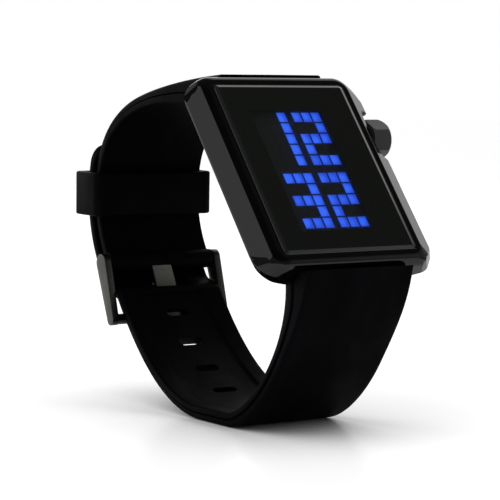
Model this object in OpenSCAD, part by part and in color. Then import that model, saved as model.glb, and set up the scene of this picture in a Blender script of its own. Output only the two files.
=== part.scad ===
// Square digital watch on a closed rubber strap, standing on the strap as on a table.
// +X points to 3 o'clock, +Z up, and the face leans back towards +Y. Millimetres.

/* [Case] */
// Width of the case at its widest line, without the crown
case_w = 35.8; // [35.2:0.2:37]
// Length of the case from the 12 o'clock wall to the 6 o'clock wall
case_h = 38.8; // [38.4:0.2:41]
// Thickness of the case from front ring to back cover
case_t = 9.8; // [9.7:0.1:11]
// Width of the flat front ring between its outer edges
ring_w = 30.6; // [30:0.2:31.2]
// Depth of the widest line below the front
widest_depth = 2.6; // [2.2:0.1:2.8]
// Height of the upright band at the widest line
band_h = 0.4; // [0.3:0.1:0.6]
// Width of the case back where the sides have run in
back_w = 25.4; // [25.2:0.2:27]
// Radius of the case's corners seen from the front
corner_r = 3; // [2.4:0.1:3.4]
// Depth to which the end walls stand upright
end_wall = 5.1; // [4.9:0.1:5.6]
// How far the 12 o'clock side is raised from level
face_lift = 51; // [46:1:55]

/* [Crystal and display] */
// Width of the window in the front ring
window_w = 25.2; // [25:0.1:26]
// Length of the window in the front ring
window_h = 34; // [33:0.2:34.4]
// Width of the polished chamfer round the window
window_chamfer = 0.7; // [0.4:0.1:1]
// How far the crystal sits below the front ring
crystal_drop = 0.35; // [0.2:0.05:0.45]
// Thickness of the crystal
crystal_t = 1.2; // [1:0.05:1.3]
// Thickness of the gasket round the crystal
gasket_t = 0.3; // [0.2:0.05:0.4]
// Distance from one column of lights to the next
light_pitch_x = 2; // [1.9:0.05:2.1]
// Distance from one row of lights to the next, as a share of the case's length
light_row_share = 0.0598; // [0.058:0.0002:0.0606]
// Extra space between the left and right digit
digit_gap_x = 1.06; // [0.8:0.02:1.3]
// Extra space between the upper and lower digits
digit_gap_y = 1.4; // [1:0.05:1.6]
// Wall between two lights
light_wall = 0.28; // [0.2:0.02:0.4]
// Thickness of the printed mask under the crystal
mask_t = 0.2; // [0.15:0.05:0.25]
// Thickness of the light grid
grid_t = 1.1; // [1:0.05:1.15]
// Thickness of the diffusers in the grid
diffuser_t = 0.5; // [0.4:0.05:0.6]
// Thickness of the display board
board_t = 0.8; // [0.6:0.1:0.8]

/* [Crown] */
// Distance of the crown from the middle, towards 12 o'clock
crown_up = 8.5; // [7.5:0.5:9]
// Depth of the crown's axis below the front
crown_depth = 3.9; // [3.8:0.05:4]
// Width of the six-sided crown across its corners
crown_d = 7.2; // [6.8:0.2:7.4]
// Length of the crown
crown_l = 3.9; // [3.6:0.1:4.4]
// Push travel of the crown
crown_travel = 0.5; // [0.3:0.05:0.5]
// Diameter of the crown's stem
stem_d = 1.4; // [1.2:0.1:1.5]
// Diameter of the tube that guides the stem
tube_d = 2.6; // [2.4:0.1:2.8]
// Length of the scoop in the case side behind the crown
scoop_l = 10.4; // [9.8:0.2:11]

/* [Strap] */
// Width of the strap
strap_w = 22; // [20:0.5:22]
// Thickness of the strap where it leaves the case
root_t = 6.8; // [6.2:0.1:7]
// Thickness of the thin part of the strap
strap_t = 2.5; // [2.3:0.1:2.8]
// Length over which the strap thins out at 12 o'clock
root_l_12 = 26; // [22:1:30]
// Length over which the strap thins out at 6 o'clock
root_l_6 = 16; // [13:1:20]
// Radius of the inside of the loop at the back
back_r = 19; // [18:0.5:20]
// Distance of the back bend's centre behind the crystal's centre
back_y = 36.8; // [36:0.2:38]
// Drop of the back bend's centre below the crystal's centre
back_drop = 7; // [6:0.5:8]
// Distance of the middle of the foot behind the crystal's centre
foot_y = 16; // [14:0.5:18]
// Drop of the foot's inside below the crystal's centre
foot_drop = 42.4; // [41:0.2:44]
// Length of the flat that the strap stands on
foot_flat = 9; // [6:0.5:10]
// How far the tail reaches past the middle of the back bend, as an angle
tail_angle = 24; // [23:0.5:26]
// Gap between the tail and the short strap
layer_gap = 0.35; // [0.3:0.05:0.5]
// Width of the raised border on the inside of the long strap
border_w = 3.4; // [3:0.2:4]
// Depth of the panel inside that border
panel_depth = 0.4; // [0.3:0.05:0.5]
// Width of an adjusting hole
hole_w = 5; // [4.8:0.1:5.4]
// Length of an adjusting hole along the strap
hole_l = 1.7; // [1.6:0.1:2]
// Distance from one adjusting hole to the next
hole_pitch = 7; // [6.5:0.25:7.5]
// Number of adjusting holes
hole_count = 7; // [5:1:7]

/* [Buckle and keeper] */
// Thickness of the buckle's side arms
arm_t = 1.3; // [1.1:0.1:1.5]
// Distance along the strap from the buckle's pin to its front bar
buckle_reach = 10.2; // [9.8:0.2:11]
// Diameter of the buckle's front bar
bar_d = 2; // [1.8:0.1:2.2]
// Diameter of the buckle's pin
pin_d = 1.3; // [1.2:0.1:1.4]
// Width of the tongue
tongue_w = 4.2; // [3.8:0.1:4.4]
// Thickness of the tongue
tongue_t = 0.9; // [0.8:0.05:1]
// How far the buckle rocks outwards on its pin
buckle_swing = 6; // [4:1:7]
// Width of the keeper along the strap
keeper_w = 8.2; // [7:0.2:9]
// Wall of the keeper on its front and back
keeper_t = 1.8; // [1.6:0.1:2]
// Wall of the keeper on its two sides
keeper_side = 1.4; // [1.2:0.1:1.6]

/* [Fits] */
// Radial clearance of a shaft or screw in its hole
run_gap = 0.05; // [0.03:0.01:0.08]
// Clearance between pieces that lie beside each other
side_gap = 0.15; // [0.1:0.01:0.2]
// Clearance of the rubber strap in the buckle and keeper
soft_gap = 0.35; // [0.3:0.05:0.45]
// Gap between flat pieces stacked inside the case
stack_gap = 0.02; // [0.01:0.01:0.04]
// Diameter of the lug bars
lug_bar_d = 1.8; // [1.6:0.1:1.9]
// Diameter of the lug bars' end pins
lug_pin_d = 1; // [0.8:0.1:1]
// Travel of a lug bar's end pin
lug_travel = 1.2; // [0.8:0.1:1.3]
// Diameter of the screws in the back cover
screw_d = 1.4; // [1.2:0.1:1.5]

/* [Hidden] */
$fn = 48;

black = [0.05, 0.05, 0.055];
rubber = [0.1, 0.1, 0.11];
steel = [0.75, 0.75, 0.74];
brass = [0.8, 0.65, 0.35];

// Directions of the leaning face in the loop's own plane, as [y, z]
up_dir = [cos(face_lift), sin(face_lift)];
out_dir = [-sin(face_lift), cos(face_lift)];
// A point of the loop's plane from its place on the face: up towards 12 o'clock, out of the front
function on_face(u, n) = u * up_dir + n * out_dir;
function unit(v) = v / norm(v);
function mix(a, b, k) = a + (b - a) * k;
// Eases from 0 at a to 1 at b, and the slope of that curve
function share(a, b, x) = max(0, min(1, (x - a) / (b - a)));
function ease(a, b, x) = let (k = share(a, b, x)) k * k * (3 - 2 * k);
function ease_slope(a, b, x) = let (k = share(a, b, x)) 6 * k * (1 - k) / (b - a);
function bezier(p, t) = pow(1 - t, 3) * p[0] + 3 * pow(1 - t, 2) * t * p[1] + 3 * (1 - t) * t * t * p[2]
    + pow(t, 3) * p[3];

// Lug bars on the face, and the strap ends that they hold
eye_r = 2.1;
lug_inset = 3.1;
lug_u = case_h / 2 - lug_inset;
lug_n = -5.4;
roof_z = 3;
pocket_u = lug_u - eye_r - side_gap;
start_at = on_face(lug_u + 0.2, lug_n - 0.8);
start_dir = [cos(14), sin(14)];
end_at = on_face(-lug_u - 1.6, lug_n + 0.3);
end_dir = [cos(80), sin(80)];

// Inside of the loop: from 12 o'clock round the back bend, along the foot and up to 6 o'clock
back_c = [back_y, -back_drop];
bend_top = 20;
bend_end = -32;
function round_back(a, r) = back_c + r * [cos(a), sin(a)];
foot_back = [foot_y + foot_flat / 2, -foot_drop];
foot_front = [foot_y - foot_flat / 2, -foot_drop];
bend_start = round_back(bend_top, back_r);
bend_stop = round_back(bend_end, back_r);
top_curve = [start_at, start_at + 18 * start_dir, bend_start + 11 * [-sin(bend_top), cos(bend_top)], bend_start];
rear_curve = [bend_stop, bend_stop + 18 * [sin(bend_end), -cos(bend_end)], foot_back + [12, 0], foot_back];
front_curve = [foot_front, foot_front - [7, 0], end_at - 12 * end_dir, end_at];
steps = 24;
route = concat([for (i = [0:steps - 1]) bezier(top_curve, i / steps)],
    [for (i = [0:steps - 1]) round_back(mix(bend_top, bend_end, i / steps), back_r)],
    [for (i = [0:steps]) bezier(rear_curve, i / steps)],
    [for (i = [0:steps]) bezier(front_curve, i / steps)]);
// Length along the route at each of its points
run = [for (i = 0, s = 0; i < len(route); s = s + (i + 1 < len(route) ? norm(route[i + 1] - route[i]) : 0),
    i = i + 1) s];
run_y = [for (i = [0:len(route) - 1]) [run[i], route[i][0]]];
run_z = [for (i = [0:len(route) - 1]) [run[i], route[i][1]]];
length = run[len(run) - 1];
bend_from = run[steps];
bend_to = run[2 * steps];
function inside(s) = [lookup(s, run_y), lookup(s, run_z)];
function along(s) = unit(inside(min(length, s + 0.8)) - inside(max(0, s - 0.8)));
function lifted(s, h) = let (d = along(s)) inside(s) + h * [-d[1], d[0]];
// Length along the route at an angle of the back bend
function bend_run(a) = mix(bend_from, bend_to, (bend_top - a) / (bend_top - bend_end));

// The long strap lies on the short one behind the buckle's pin, and drops to the route before the bar
pin_run = bend_to + 2.2;
bar_run = pin_run + buckle_reach;
tip_run = bend_run(tail_angle);
lift = strap_t + layer_gap;
drop_from = pin_run + 2.2;
drop_to = pin_run + 7;
function long_lift(s) = lift * (1 - ease(drop_from, drop_to, s));
function short_t(s) = mix(strap_t, root_t, pow(1 - share(0, root_l_12, s), 2));
function long_t(s) = mix(strap_t, root_t, pow(1 - share(0, root_l_6, length - s), 2))
    * sqrt(1 + pow(lift * ease_slope(drop_from, drop_to, s), 2));
// A strap is full width up to its groove, then a little narrower, and narrower again at its outer face
function groove_h(t) = min(2, 0.45 * t);
groove_inset = 0.3;
face_inset = 1;
face_h = 0.6;

// Buckle in the loop's plane
hinge_r = 1.8;
hinge_bulge = 1.15;
tongue_eye = 1.1;
pin_at = lifted(pin_run, hinge_r - hinge_bulge);
bar_at = lifted(bar_run, strap_t + layer_gap + bar_d / 2);
buckle_dir = unit(bar_at - pin_at);
buckle_turn = atan2(buckle_dir[1], buckle_dir[0]);
buckle_len = norm(bar_at - pin_at);
tongue_rise = bar_d / 2 + tongue_t / 2 + side_gap;
tongue_turn = buckle_turn - atan2(tongue_rise, buckle_len);
tongue_len = norm([buckle_len, tongue_rise]) + 1.4;

// Keeper round both straps on the back bend
keeper_room_in = back_r * cos(atan(keeper_w / 2 / back_r)) - soft_gap;
keeper_room_out = back_r + lift + strap_t + soft_gap;
keeper_in = keeper_room_in - keeper_t;
keeper_out = keeper_room_out + keeper_t;
keeper_turn = 1.5;

// Crown and its stem along X
scoop_x = case_w / 2 - 2.3;
crown_x = scoop_x + crown_travel + 0.35;
crown_end = crown_x + crown_l;
oring_t = 0.58;
oring_groove = 0.25;
oring_d = tube_d - 2 * oring_groove + 2 * oring_t;
crown_bore_d = oring_d + 2 * run_gap;
crown_bore_end = crown_x + 2;
tube_end = crown_x + 0.5;
spring_turns = 3;

// The middle of the model's box stands on the origin
loop_front = min([for (i = [0:60]) lifted(length - i, long_t(length - i))[0]]);
loop_back = back_y + keeper_out * cos(keeper_turn) + keeper_w / 2 * sin(keeper_turn);
seat = [-(crown_end - case_w / 2) / 2, -(loop_front + loop_back) / 2, foot_drop + strap_t];

// Slopes and cut corners of the case
end_slope = 0.72;
ring_round = 2.4;
lug_cut_turn = 76;
lug_cut_dip = 35;

light_pitch_y = light_row_share * case_h;

// Depths of the stack inside the case, counted from the front
crystal_z = crystal_drop + crystal_t;
mask_z = crystal_z + stack_gap;
grid_z = mask_z + mask_t + stack_gap;
board_z = grid_z + grid_t + stack_gap;
cover_t = 1.4;
cover_z = case_t - cover_t;
cover_seat_z = cover_z - 0.35;
battery_h = 2.5;
battery_r = 10;
battery_z = cover_seat_z - battery_h;
frame_floor_z = battery_z - 0.45;
cavity_w = window_w - 2.8;
cavity_h = 2 * (pocket_u - 1.4);
cover_w = cavity_w + 1.8;
cover_h = cavity_h + 1.8;
post = 3.4;
post_z = frame_floor_z + 0.2;
screw_l = 2.6;
head_d = screw_d + 1.1;
head_t = 0.6;
cover_margin = 0.1;

module place() {
    translate(seat) children();
}

module on_case() {
    place() rotate([face_lift, 0, 0]) children();
}

// Turns a drawing in the loop's own plane into a slab across the watch
module across(from, to) {
    place() translate([from, 0, 0]) rotate([90, 0, 90]) linear_extrude(height = to - from) children();
}

module rounded(w, h, r) {
    union() {
        square([w - 2 * r, h], center = true);
        square([w, h - 2 * r], center = true);
        for (x = [-1, 1], y = [-1, 1]) translate([x * (w / 2 - r), y * (h / 2 - r)]) circle(r = r);
    }
}

// Rounded plate lying under the front, from depth z down
module slab(w, h, r, z, t) {
    translate([0, 0, -z - t]) linear_extrude(height = t) rounded(w, h, r);
}

module block(x, y, z, w, h, t) {
    translate([x - w / 2, y - h / 2, -z - t]) cube([w, h, t]);
}

// Rod along X at the crown's height
module rod(from, to, d) {
    translate([from, crown_up, -crown_depth]) rotate([0, 90, 0]) cylinder(d = d, h = to - from);
}

// Spring wire as one tube along a helix about X, from x = a to x = b
module coil(a, b, r, wire, turns, y, z) {
    rings = 10;
    sides = 5;
    count = rings * turns;
    points = [for (i = [0:count], k = [0:sides - 1])
        let (t = 360 * i / rings, q = 360 * k / sides, reach = r + wire / 2 * cos(q))
        [mix(a, b, i / count) + wire / 2 * sin(q), y + reach * cos(t), z + reach * sin(t)]];
    wall = [for (i = [0:count - 1], k = [0:sides - 1], h = [0, 1])
        let (p = i * sides, m = (k + 1) % sides)
        h == 0 ? [p + k, p + m, p + sides + m] : [p + k, p + sides + m, p + sides + k]];
    ends = concat([for (k = [1:sides - 2]) [0, k + 1, k]],
        [for (k = [1:sides - 2]) [count * sides, count * sides + k, count * sides + k + 1]]);
    polyhedron(points = points, faces = concat(wall, ends));
}

// Sides of the case, drawn as a section and run from 12 to 6 o'clock
module case_sides() {
    soft = 0.2;
    half = case_w / 2;
    ring = ring_w / 2;
    foot = back_w / 2;
    right = [[ring - soft, 0], [ring, 0] + soft * unit([half - ring, -widest_depth]), [half, -widest_depth],
        [half, -widest_depth - band_h], [foot, -case_t]];
    left = [for (i = [len(right) - 1:-1:0]) [-right[i][0], right[i][1]]];
    rotate([90, 0, 0]) linear_extrude(height = case_h + 2, center = true) polygon(concat(right, left));
}

// End walls of the case, drawn as a section and run from 9 to 3 o'clock
module case_ends() {
    soft = 0.35;
    half = case_h / 2;
    up = [[half - soft, 0], [half - 0.1, -0.1], [half, -soft], [half, -end_wall],
        [half - end_slope * (case_t - end_wall), -case_t]];
    down = [for (i = [len(up) - 1:-1:0]) [-up[i][0], up[i][1]]];
    rotate([90, 0, 90]) linear_extrude(height = case_w + 2, center = true) polygon(concat(up, down));
}

// Cuts all four corners with a plane through the point [x, y, z], facing turn round from 3 o'clock and dip backwards
module corner_cuts(at, turn, dip) {
    far = at * [cos(dip) * cos(turn), cos(dip) * sin(turn), -sin(dip)];
    for (x = [-1, 1], y = [-1, 1])
        rotate([0, 0, y * (x > 0 ? turn : 180 - turn)]) rotate([0, dip, 0])
            translate([far, -case_h, -case_h]) cube(2 * case_h);
}

// Widening mouth of the window, with mitred corners
module window_mouth() {
    above = 1;
    grow = window_chamfer * (1 + above / crystal_drop);
    intersection_for (side = [[0, window_w / 2], [90, window_h / 2]])
        rotate([90, 0, side[0]]) linear_extrude(height = 2 * case_h, center = true)
            polygon([[-side[1], -crystal_drop], [side[1], -crystal_drop], [side[1] + grow, above],
                [-side[1] - grow, above]]);
}

module scoop() {
    r = 1.6;
    translate([scoop_x, crown_up - scoop_l / 2 - 0.3, -case_t - 1]) linear_extrude(height = case_t + 2) union() {
        for (y = [r, scoop_l - r]) translate([r, y]) circle(r = r);
        translate([0, r]) square([6, scoop_l - 2 * r]);
        translate([r, 0]) square([6, scoop_l]);
    }
}

module screw_places() {
    for (x = [-1, 1], y = [-1, 1])
        translate([x * (cavity_w / 2 - post / 2 + 0.2), y * (cavity_h / 2 - post / 2 + 0.2), 0]) children();
}

// Room in a case end for the strap's eye, open to the back
module strap_pocket(y) {
    far = 6;
    block(0, y * (pocket_u + far / 2), roof_z, strap_w + 2 * side_gap, far, case_t);
}

module case_body() {
    color(black) on_case() difference() {
        intersection() {
            case_sides();
            case_ends();
            slab(case_w, case_h, corner_r, -1, case_t + 2);
        }
        for (turn = [22.5, 45, 67.5]) corner_cuts([ring_w / 2 - ring_round * (1 - cos(turn)),
            case_h / 2 - ring_round * (1 - sin(turn)), 0], turn, turn / 2 - 45);
        corner_cuts([case_w / 2, case_h / 2, -widest_depth - band_h], lug_cut_turn, lug_cut_dip);
        slab(window_w, window_h, 0.8, -1, mask_z + mask_t + 1);
        window_mouth();
        difference() {
            slab(cavity_w, cavity_h, 1, 1, case_t);
            intersection() {
                screw_places() block(0, 0, post_z, post, post, cover_seat_z - post_z);
                block(0, 0, 0, cavity_w + 1, cavity_h + 1, case_t);
            }
        }
        slab(cover_w, cover_h, 1.6, cover_seat_z, 5);
        for (y = [-1, 1]) {
            strap_pocket(y);
            translate([0, y * lug_u, lug_n]) rotate([0, 90, 0])
                cylinder(d = lug_pin_d + 2 * run_gap, h = strap_w + 4, center = true);
        }
        screw_places() translate([0, 0, -case_t]) cylinder(d = screw_d + 2 * run_gap, h = case_t - post_z - 0.4);
        scoop();
        rod(0, case_w, tube_d);
    }
}

module crystal() {
    color([0.1, 0.1, 0.12]) on_case()
        slab(window_w - 2 * gasket_t, window_h - 2 * gasket_t, 0.6, crystal_drop, crystal_t);
}

module crystal_gasket() {
    top = crystal_drop + 0.1;
    color([0.02, 0.02, 0.02]) on_case() difference() {
        slab(window_w, window_h, 0.8, top, crystal_z - top);
        slab(window_w - 2 * gasket_t, window_h - 2 * gasket_t, 0.6, top - 1, crystal_t + 2);
    }
}

// The digits shown, three columns by five rows each
one = ["001", "001", "001", "001", "001"];
two = ["111", "001", "111", "100", "111"];
three = ["111", "001", "111", "001", "111"];
shown = [[one, two], [three, two]];
function lit(c, r) = shown[floor(r / 5)][floor(c / 3)][r % 5][c % 3] == "1";
function light_x(c) = (c - 2.5) * light_pitch_x + (c < 3 ? -1 : 1) * digit_gap_x / 2;
function light_y(r) = (4.5 - r) * light_pitch_y + (r < 5 ? 1 : -1) * digit_gap_y / 2;

// Boxes at the places of the lights: all of them, or only the lit or unlit ones
module lights(margin, z, t, which) {
    for (c = [0:5], r = [0:9])
        if (which == "all" || (which == "lit") == lit(c, r))
            block(light_x(c), light_y(r), z, light_pitch_x - light_wall - 2 * margin,
                light_pitch_y - light_wall - 2 * margin, t);
}

module display_mask() {
    color(black) on_case() difference() {
        slab(window_w - 0.1, window_h - 0.1, 0.75, mask_z, mask_t);
        lights(0, mask_z - 1, mask_t + 2, "all");
    }
}

module light_grid() {
    color([0.12, 0.12, 0.13]) on_case() difference() {
        slab(cavity_w - 2 * side_gap, cavity_h - 2 * side_gap, 1, grid_z, grid_t);
        lights(0, grid_z - 1, grid_t + 2, "all");
    }
}

module lit_cells() {
    color([0.2, 0.35, 1]) on_case() lights(0.01, grid_z, diffuser_t, "lit");
}

module unlit_cells() {
    color([0.08, 0.08, 0.12]) on_case() lights(0.01, grid_z, diffuser_t, "unlit");
}

module led_chips() {
    color([0.9, 0.9, 0.7]) on_case() for (c = [0:5], r = [0:9])
        block(light_x(c), light_y(r), board_z - stack_gap - 0.4, 1, 0.6, 0.4);
}

// The push switch sits in a notch of the board, in line with the stem
switch_w = 4.8;
switch_l = 2.6;
switch_x = cavity_w / 2 - 4.6;
switch_t = 2;
switch_end = switch_x + switch_l;
stem_tip = cavity_w / 2 - 1;
plunger_d = 1.2;
plunger_tip = stem_tip - stack_gap;

module display_board() {
    color([0.05, 0.25, 0.12]) on_case() difference() {
        slab(cavity_w - 2 * side_gap, cavity_h - 2 * side_gap, 1, board_z, board_t);
        block(switch_x + 5, crown_up, board_z - 1, 10 + 2 * side_gap, switch_w + 2 * side_gap, 3);
    }
}

module controller_chip() {
    color([0.1, 0.1, 0.1]) on_case() block(-2, -3, board_z + board_t, 6, 6, 0.75);
}

module quartz_can() {
    color(steel) on_case() translate([-7, -9, -board_z - board_t - 0.55]) rotate([-90, 0, 0])
        cylinder(d = 1.1, h = 4);
}

module board_capacitors() {
    color([0.6, 0.5, 0.35]) on_case() for (i = [0:3])
        block(4, -9 + 2.2 * i, board_z + board_t, 1.2, 0.8, 0.6);
}

module push_switch() {
    color([0.7, 0.7, 0.7]) on_case() difference() {
        block(switch_x + switch_l / 2, crown_up, crown_depth - switch_t / 2, switch_l, switch_w, switch_t);
        rod(switch_end - crown_travel - 1, switch_end + 1, plunger_d + 2 * run_gap);
    }
}

module switch_plunger() {
    color(black) on_case() rod(switch_end - 0.8, plunger_tip, plunger_d);
}

module module_frame() {
    color([0.85, 0.85, 0.82]) on_case() difference() {
        slab(cavity_w - 2 * side_gap, cavity_h - 2 * side_gap, 1, frame_floor_z, cover_seat_z - frame_floor_z);
        screw_places() block(0, 0, frame_floor_z - 1, post + 2 * side_gap, post + 2 * side_gap, case_t);
        translate([0, 0, -case_t]) cylinder(r = battery_r + side_gap, h = case_t - battery_z);
        for (x = [-4.5, 4.5]) translate([x, 0, -case_t]) cylinder(d = 3, h = case_t);
    }
}

module battery() {
    rim = 0.5;
    color(steel) on_case() translate([0, 0, -battery_z - battery_h]) union() {
        cylinder(r = battery_r, h = battery_h - rim);
        cylinder(r = battery_r - 1.2, h = battery_h - stack_gap);
    }
}

clip_t = 0.2;

module battery_clip() {
    color(brass) on_case() difference() {
        block(0, 0, cover_seat_z + stack_gap, 5, cavity_h - 5, clip_t);
        translate([0, 0, -case_t]) cylinder(d = 2, h = case_t);
    }
}

module battery_insulator() {
    color([0.9, 0.85, 0.3]) on_case()
        slab(cavity_w - 1, cavity_h - 2 * post - 1, 2, cover_seat_z + clip_t + 2 * stack_gap, 0.1);
}

module case_back() {
    color(steel) on_case() difference() {
        slab(cover_w - 2 * cover_margin, cover_h - 2 * cover_margin, 1.5, cover_z, cover_t);
        screw_places() translate([0, 0, -case_t - 1]) {
            cylinder(d = screw_d + 2 * run_gap, h = 5);
            cylinder(d = head_d + 2 * run_gap, h = 1 + head_t + stack_gap);
        }
    }
}

module back_gasket() {
    width = 0.7;
    color([0.02, 0.02, 0.02]) on_case() difference() {
        slab(cover_w - 2 * cover_margin, cover_h - 2 * cover_margin, 1.5, cover_seat_z, cover_z - cover_seat_z);
        slab(cover_w - 2 * cover_margin - 2 * width, cover_h - 2 * cover_margin - 2 * width, 0.8, 0, case_t);
    }
}

module back_screws() {
    color(steel) on_case() screw_places() translate([0, 0, -case_t]) difference() {
        union() {
            cylinder(d = head_d, h = head_t);
            cylinder(d = screw_d, h = head_t + screw_l);
        }
        translate([-0.15, -head_d, -1]) cube([0.3, 2 * head_d, 1.25]);
    }
}

// Six-sided push crown with a turned, rounded outer end and a bore for tube and spring
module crown_cap() {
    r = crown_d / 2;
    dome = 1.3;
    color([0.07, 0.07, 0.075]) on_case() difference() {
        intersection() {
            translate([crown_x, crown_up, -crown_depth]) rotate([0, 90, 0]) rotate([0, 0, 7.5])
                cylinder(r = r, h = crown_l, $fn = 6);
            translate([crown_x, crown_up, -crown_depth]) rotate([0, 90, 0]) rotate_extrude()
                union() {
                    translate([0, 0]) polygon([[0, 0], [r - 0.35, 0], [r, 0.35], [r, crown_l - dome], [0, crown_l - dome]]);
                    intersection() {
                        translate([r - dome, crown_l - dome]) circle(r = dome);
                        square([r, crown_l]);
                    }
                    square([r - dome, crown_l]);
                }
        }
        rod(crown_x - 1, crown_bore_end, crown_bore_d);
        rod(crown_x, crown_bore_end + 1, stem_d);
    }
}

// The clip sits in a groove round the stem and stops it against the inside of the case
clip_groove = 0.2;
clip_x = cavity_w / 2 - 0.45;
clip_w = 0.3;

module crown_stem() {
    color(steel) on_case() difference() {
        rod(stem_tip, crown_bore_end + 1, stem_d);
        difference() {
            rod(clip_x - stack_gap, clip_x + clip_w + stack_gap, stem_d + 1);
            rod(clip_x - 1, clip_x + 2, stem_d - 2 * clip_groove);
        }
    }
}

module stem_clip() {
    color(steel) on_case() difference() {
        rod(clip_x, clip_x + clip_w, stem_d + 0.6);
        rod(clip_x - 1, clip_x + 2, stem_d - 2 * clip_groove + stack_gap);
        translate([clip_x - 1, crown_up - 0.45, -crown_depth]) cube([3, 0.9, 3]);
    }
}

module crown_tube() {
    groove = tube_end - 0.35 - oring_t - stack_gap;
    color(steel) on_case() difference() {
        rod(cavity_w / 2, tube_end, tube_d);
        rod(0, case_w, stem_d + 2 * run_gap);
        difference() {
            rod(groove, groove + oring_t + stack_gap, tube_d + 1);
            rod(groove - 1, groove + 2, tube_d - 2 * oring_groove);
        }
    }
}

module crown_oring() {
    mid = tube_end - 0.35 - (oring_t + stack_gap) / 2;
    color([0.02, 0.02, 0.02]) on_case() translate([mid, crown_up, -crown_depth]) rotate([0, 90, 0])
        rotate_extrude() translate([(oring_d - oring_t) / 2, 0]) circle(d = oring_t, $fn = 24);
}

module crown_spring() {
    wire = 0.25;
    color(steel) on_case() coil(tube_end + wire / 2 + 0.02, crown_bore_end - wire / 2 - 0.02,
        stem_d / 2 + 0.45, wire, spring_turns, crown_up, -crown_depth);
}

// Side view of a strap between two lengths of the route and two shares of its thickness
module strap_side(from, to, low, high) {
    count = ceil((to - from) / 1.6);
    at = [for (i = [0:count]) mix(from, to, i / count)];
    polygon(concat([for (s = at) lifted(s, call(high, s))], [for (i = [count:-1:0]) lifted(at[i], call(low, at[i]))]));
}
function call(f, s) = f(s);

// Everything of the case that a strap end must clear
module case_clear() {
    on_case() block(0, 0, -10, case_w, case_h + 2 * side_gap, 10 + roof_z + side_gap);
}

// Side view of a circle round the lug bar at 12 o'clock (y = 1) or 6 o'clock (y = -1)
module lug_circle(y, r) {
    translate(on_face(y * lug_u, lug_n)) circle(r = r);
}

module strap_short() {
    half = strap_w / 2;
    slot_w = tongue_w + 2 * soft_gap;
    color(rubber) difference() {
        union() {
            across(-half, half) union() {
                strap_side(0, pin_run, function (s) 0, function (s) groove_h(short_t(s)));
                lug_circle(1, eye_r);
                translate(pin_at) circle(r = hinge_r);
            }
            across(-half + groove_inset, half - groove_inset)
                strap_side(0, pin_run, function (s) groove_h(short_t(s)), function (s) short_t(s) - face_h);
            across(-half + face_inset, half - face_inset)
                strap_side(0, pin_run, function (s) short_t(s) - face_h, function (s) short_t(s));
        }
        case_clear();
        across(-half - 1, half + 1) union() {
            lug_circle(1, lug_bar_d / 2 + run_gap);
            translate(pin_at) circle(d = pin_d + 2 * run_gap);
        }
        across(-slot_w / 2, slot_w / 2) tongue_pocket();
    }
}

// Side view of the pocket round the tongue's eye, open to the outside of the strap and towards the tip
module tongue_pocket() {
    mouth = 2 * hinge_r;
    translate(pin_at) hull() {
        circle(r = tongue_eye + side_gap);
        for (turn = [0, 60]) rotate(tongue_turn + turn) translate([mouth, 0]) circle(r = tongue_t / 2 + soft_gap);
    }
}

// An adjusting hole: two round ends and a straight middle, square to the strap
module adjust_hole(s) {
    d = along(s);
    at = lifted(s, -2);
    place() translate([0, at[0], at[1]]) rotate([atan2(d[1], d[0]), 0, 0]) union() {
        for (x = [-1, 1]) translate([x * (hole_w - hole_l) / 2, 0, 0]) cylinder(d = hole_l, h = 12);
        translate([-(hole_w - hole_l) / 2, -hole_l / 2, 0]) cube([hole_w - hole_l, hole_l, 12]);
    }
}

// Room for the tongue on its way through the strap, at rest and rocked outwards
module tongue_room() {
    tall = tongue_t + 2 * soft_gap;
    across(-hole_w / 2, hole_w / 2) for (turn = [0, buckle_swing]) translate(pin_at) rotate(tongue_turn + turn)
        translate([0, -tall / 2]) square([tongue_len, tall]);
}

module strap_long() {
    half = strap_w / 2;
    panel = half - border_w;
    panel_end = drop_to;
    tongue_hole = (drop_from + drop_to) / 2;
    color(rubber) difference() {
        union() {
            across(-half, half) union() {
                strap_side(tip_run, length,
                    function (s) long_lift(s), function (s) long_lift(s) + groove_h(long_t(s)));
                lug_circle(-1, eye_r);
            }
            across(-half + groove_inset, half - groove_inset) strap_side(tip_run, length,
                function (s) long_lift(s) + groove_h(long_t(s)), function (s) long_lift(s) + long_t(s) - face_h);
            across(-half + face_inset, half - face_inset) strap_side(tip_run, length,
                function (s) long_lift(s) + long_t(s) - face_h, function (s) long_lift(s) + long_t(s));
        }
        across(-panel, panel) strap_side(panel_end, length - 4, function (s) -2, function (s) panel_depth);
        case_clear();
        across(-half - 1, half + 1) lug_circle(-1, lug_bar_d / 2 + run_gap);
        for (i = [-2:hole_count - 3]) adjust_hole(tongue_hole + i * hole_pitch);
        tongue_room();
        tail_corners();
    }
}

// Rounds the two corners of the tail's end
module tail_corners() {
    r = 2.5;
    tip = round_back(tail_angle, back_r);
    for (x = [-1, 1]) place() translate([x * (strap_w / 2 - r), tip[0], tip[1]]) rotate([tail_angle - 90, 0, 0])
        translate([0, -r, -2]) difference() {
            translate([x > 0 ? 0 : -r - 1, 0, 0]) cube([r + 1, r + 1, 12]);
            cylinder(r = r, h = 12);
        }
}

// Lug bar at 12 o'clock (y = 1) or 6 o'clock (y = -1): a tube, two end pins and the spring between them
tube_half = strap_w / 2 - 1.7;
pin_in = tube_half - 0.8;
lug_spring_turns = 9;

module on_lug(y) {
    on_case() translate([0, y * lug_u, lug_n]) children();
}

module along_x(from, to, d) {
    translate([from, 0, 0]) rotate([0, 90, 0]) cylinder(d = d, h = to - from);
}

module lug_bar(y) {
    color(steel) on_lug(y) difference() {
        along_x(-tube_half, tube_half, lug_bar_d);
        along_x(-tube_half - 1, tube_half + 1, lug_pin_d + 2 * run_gap);
    }
}

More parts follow.
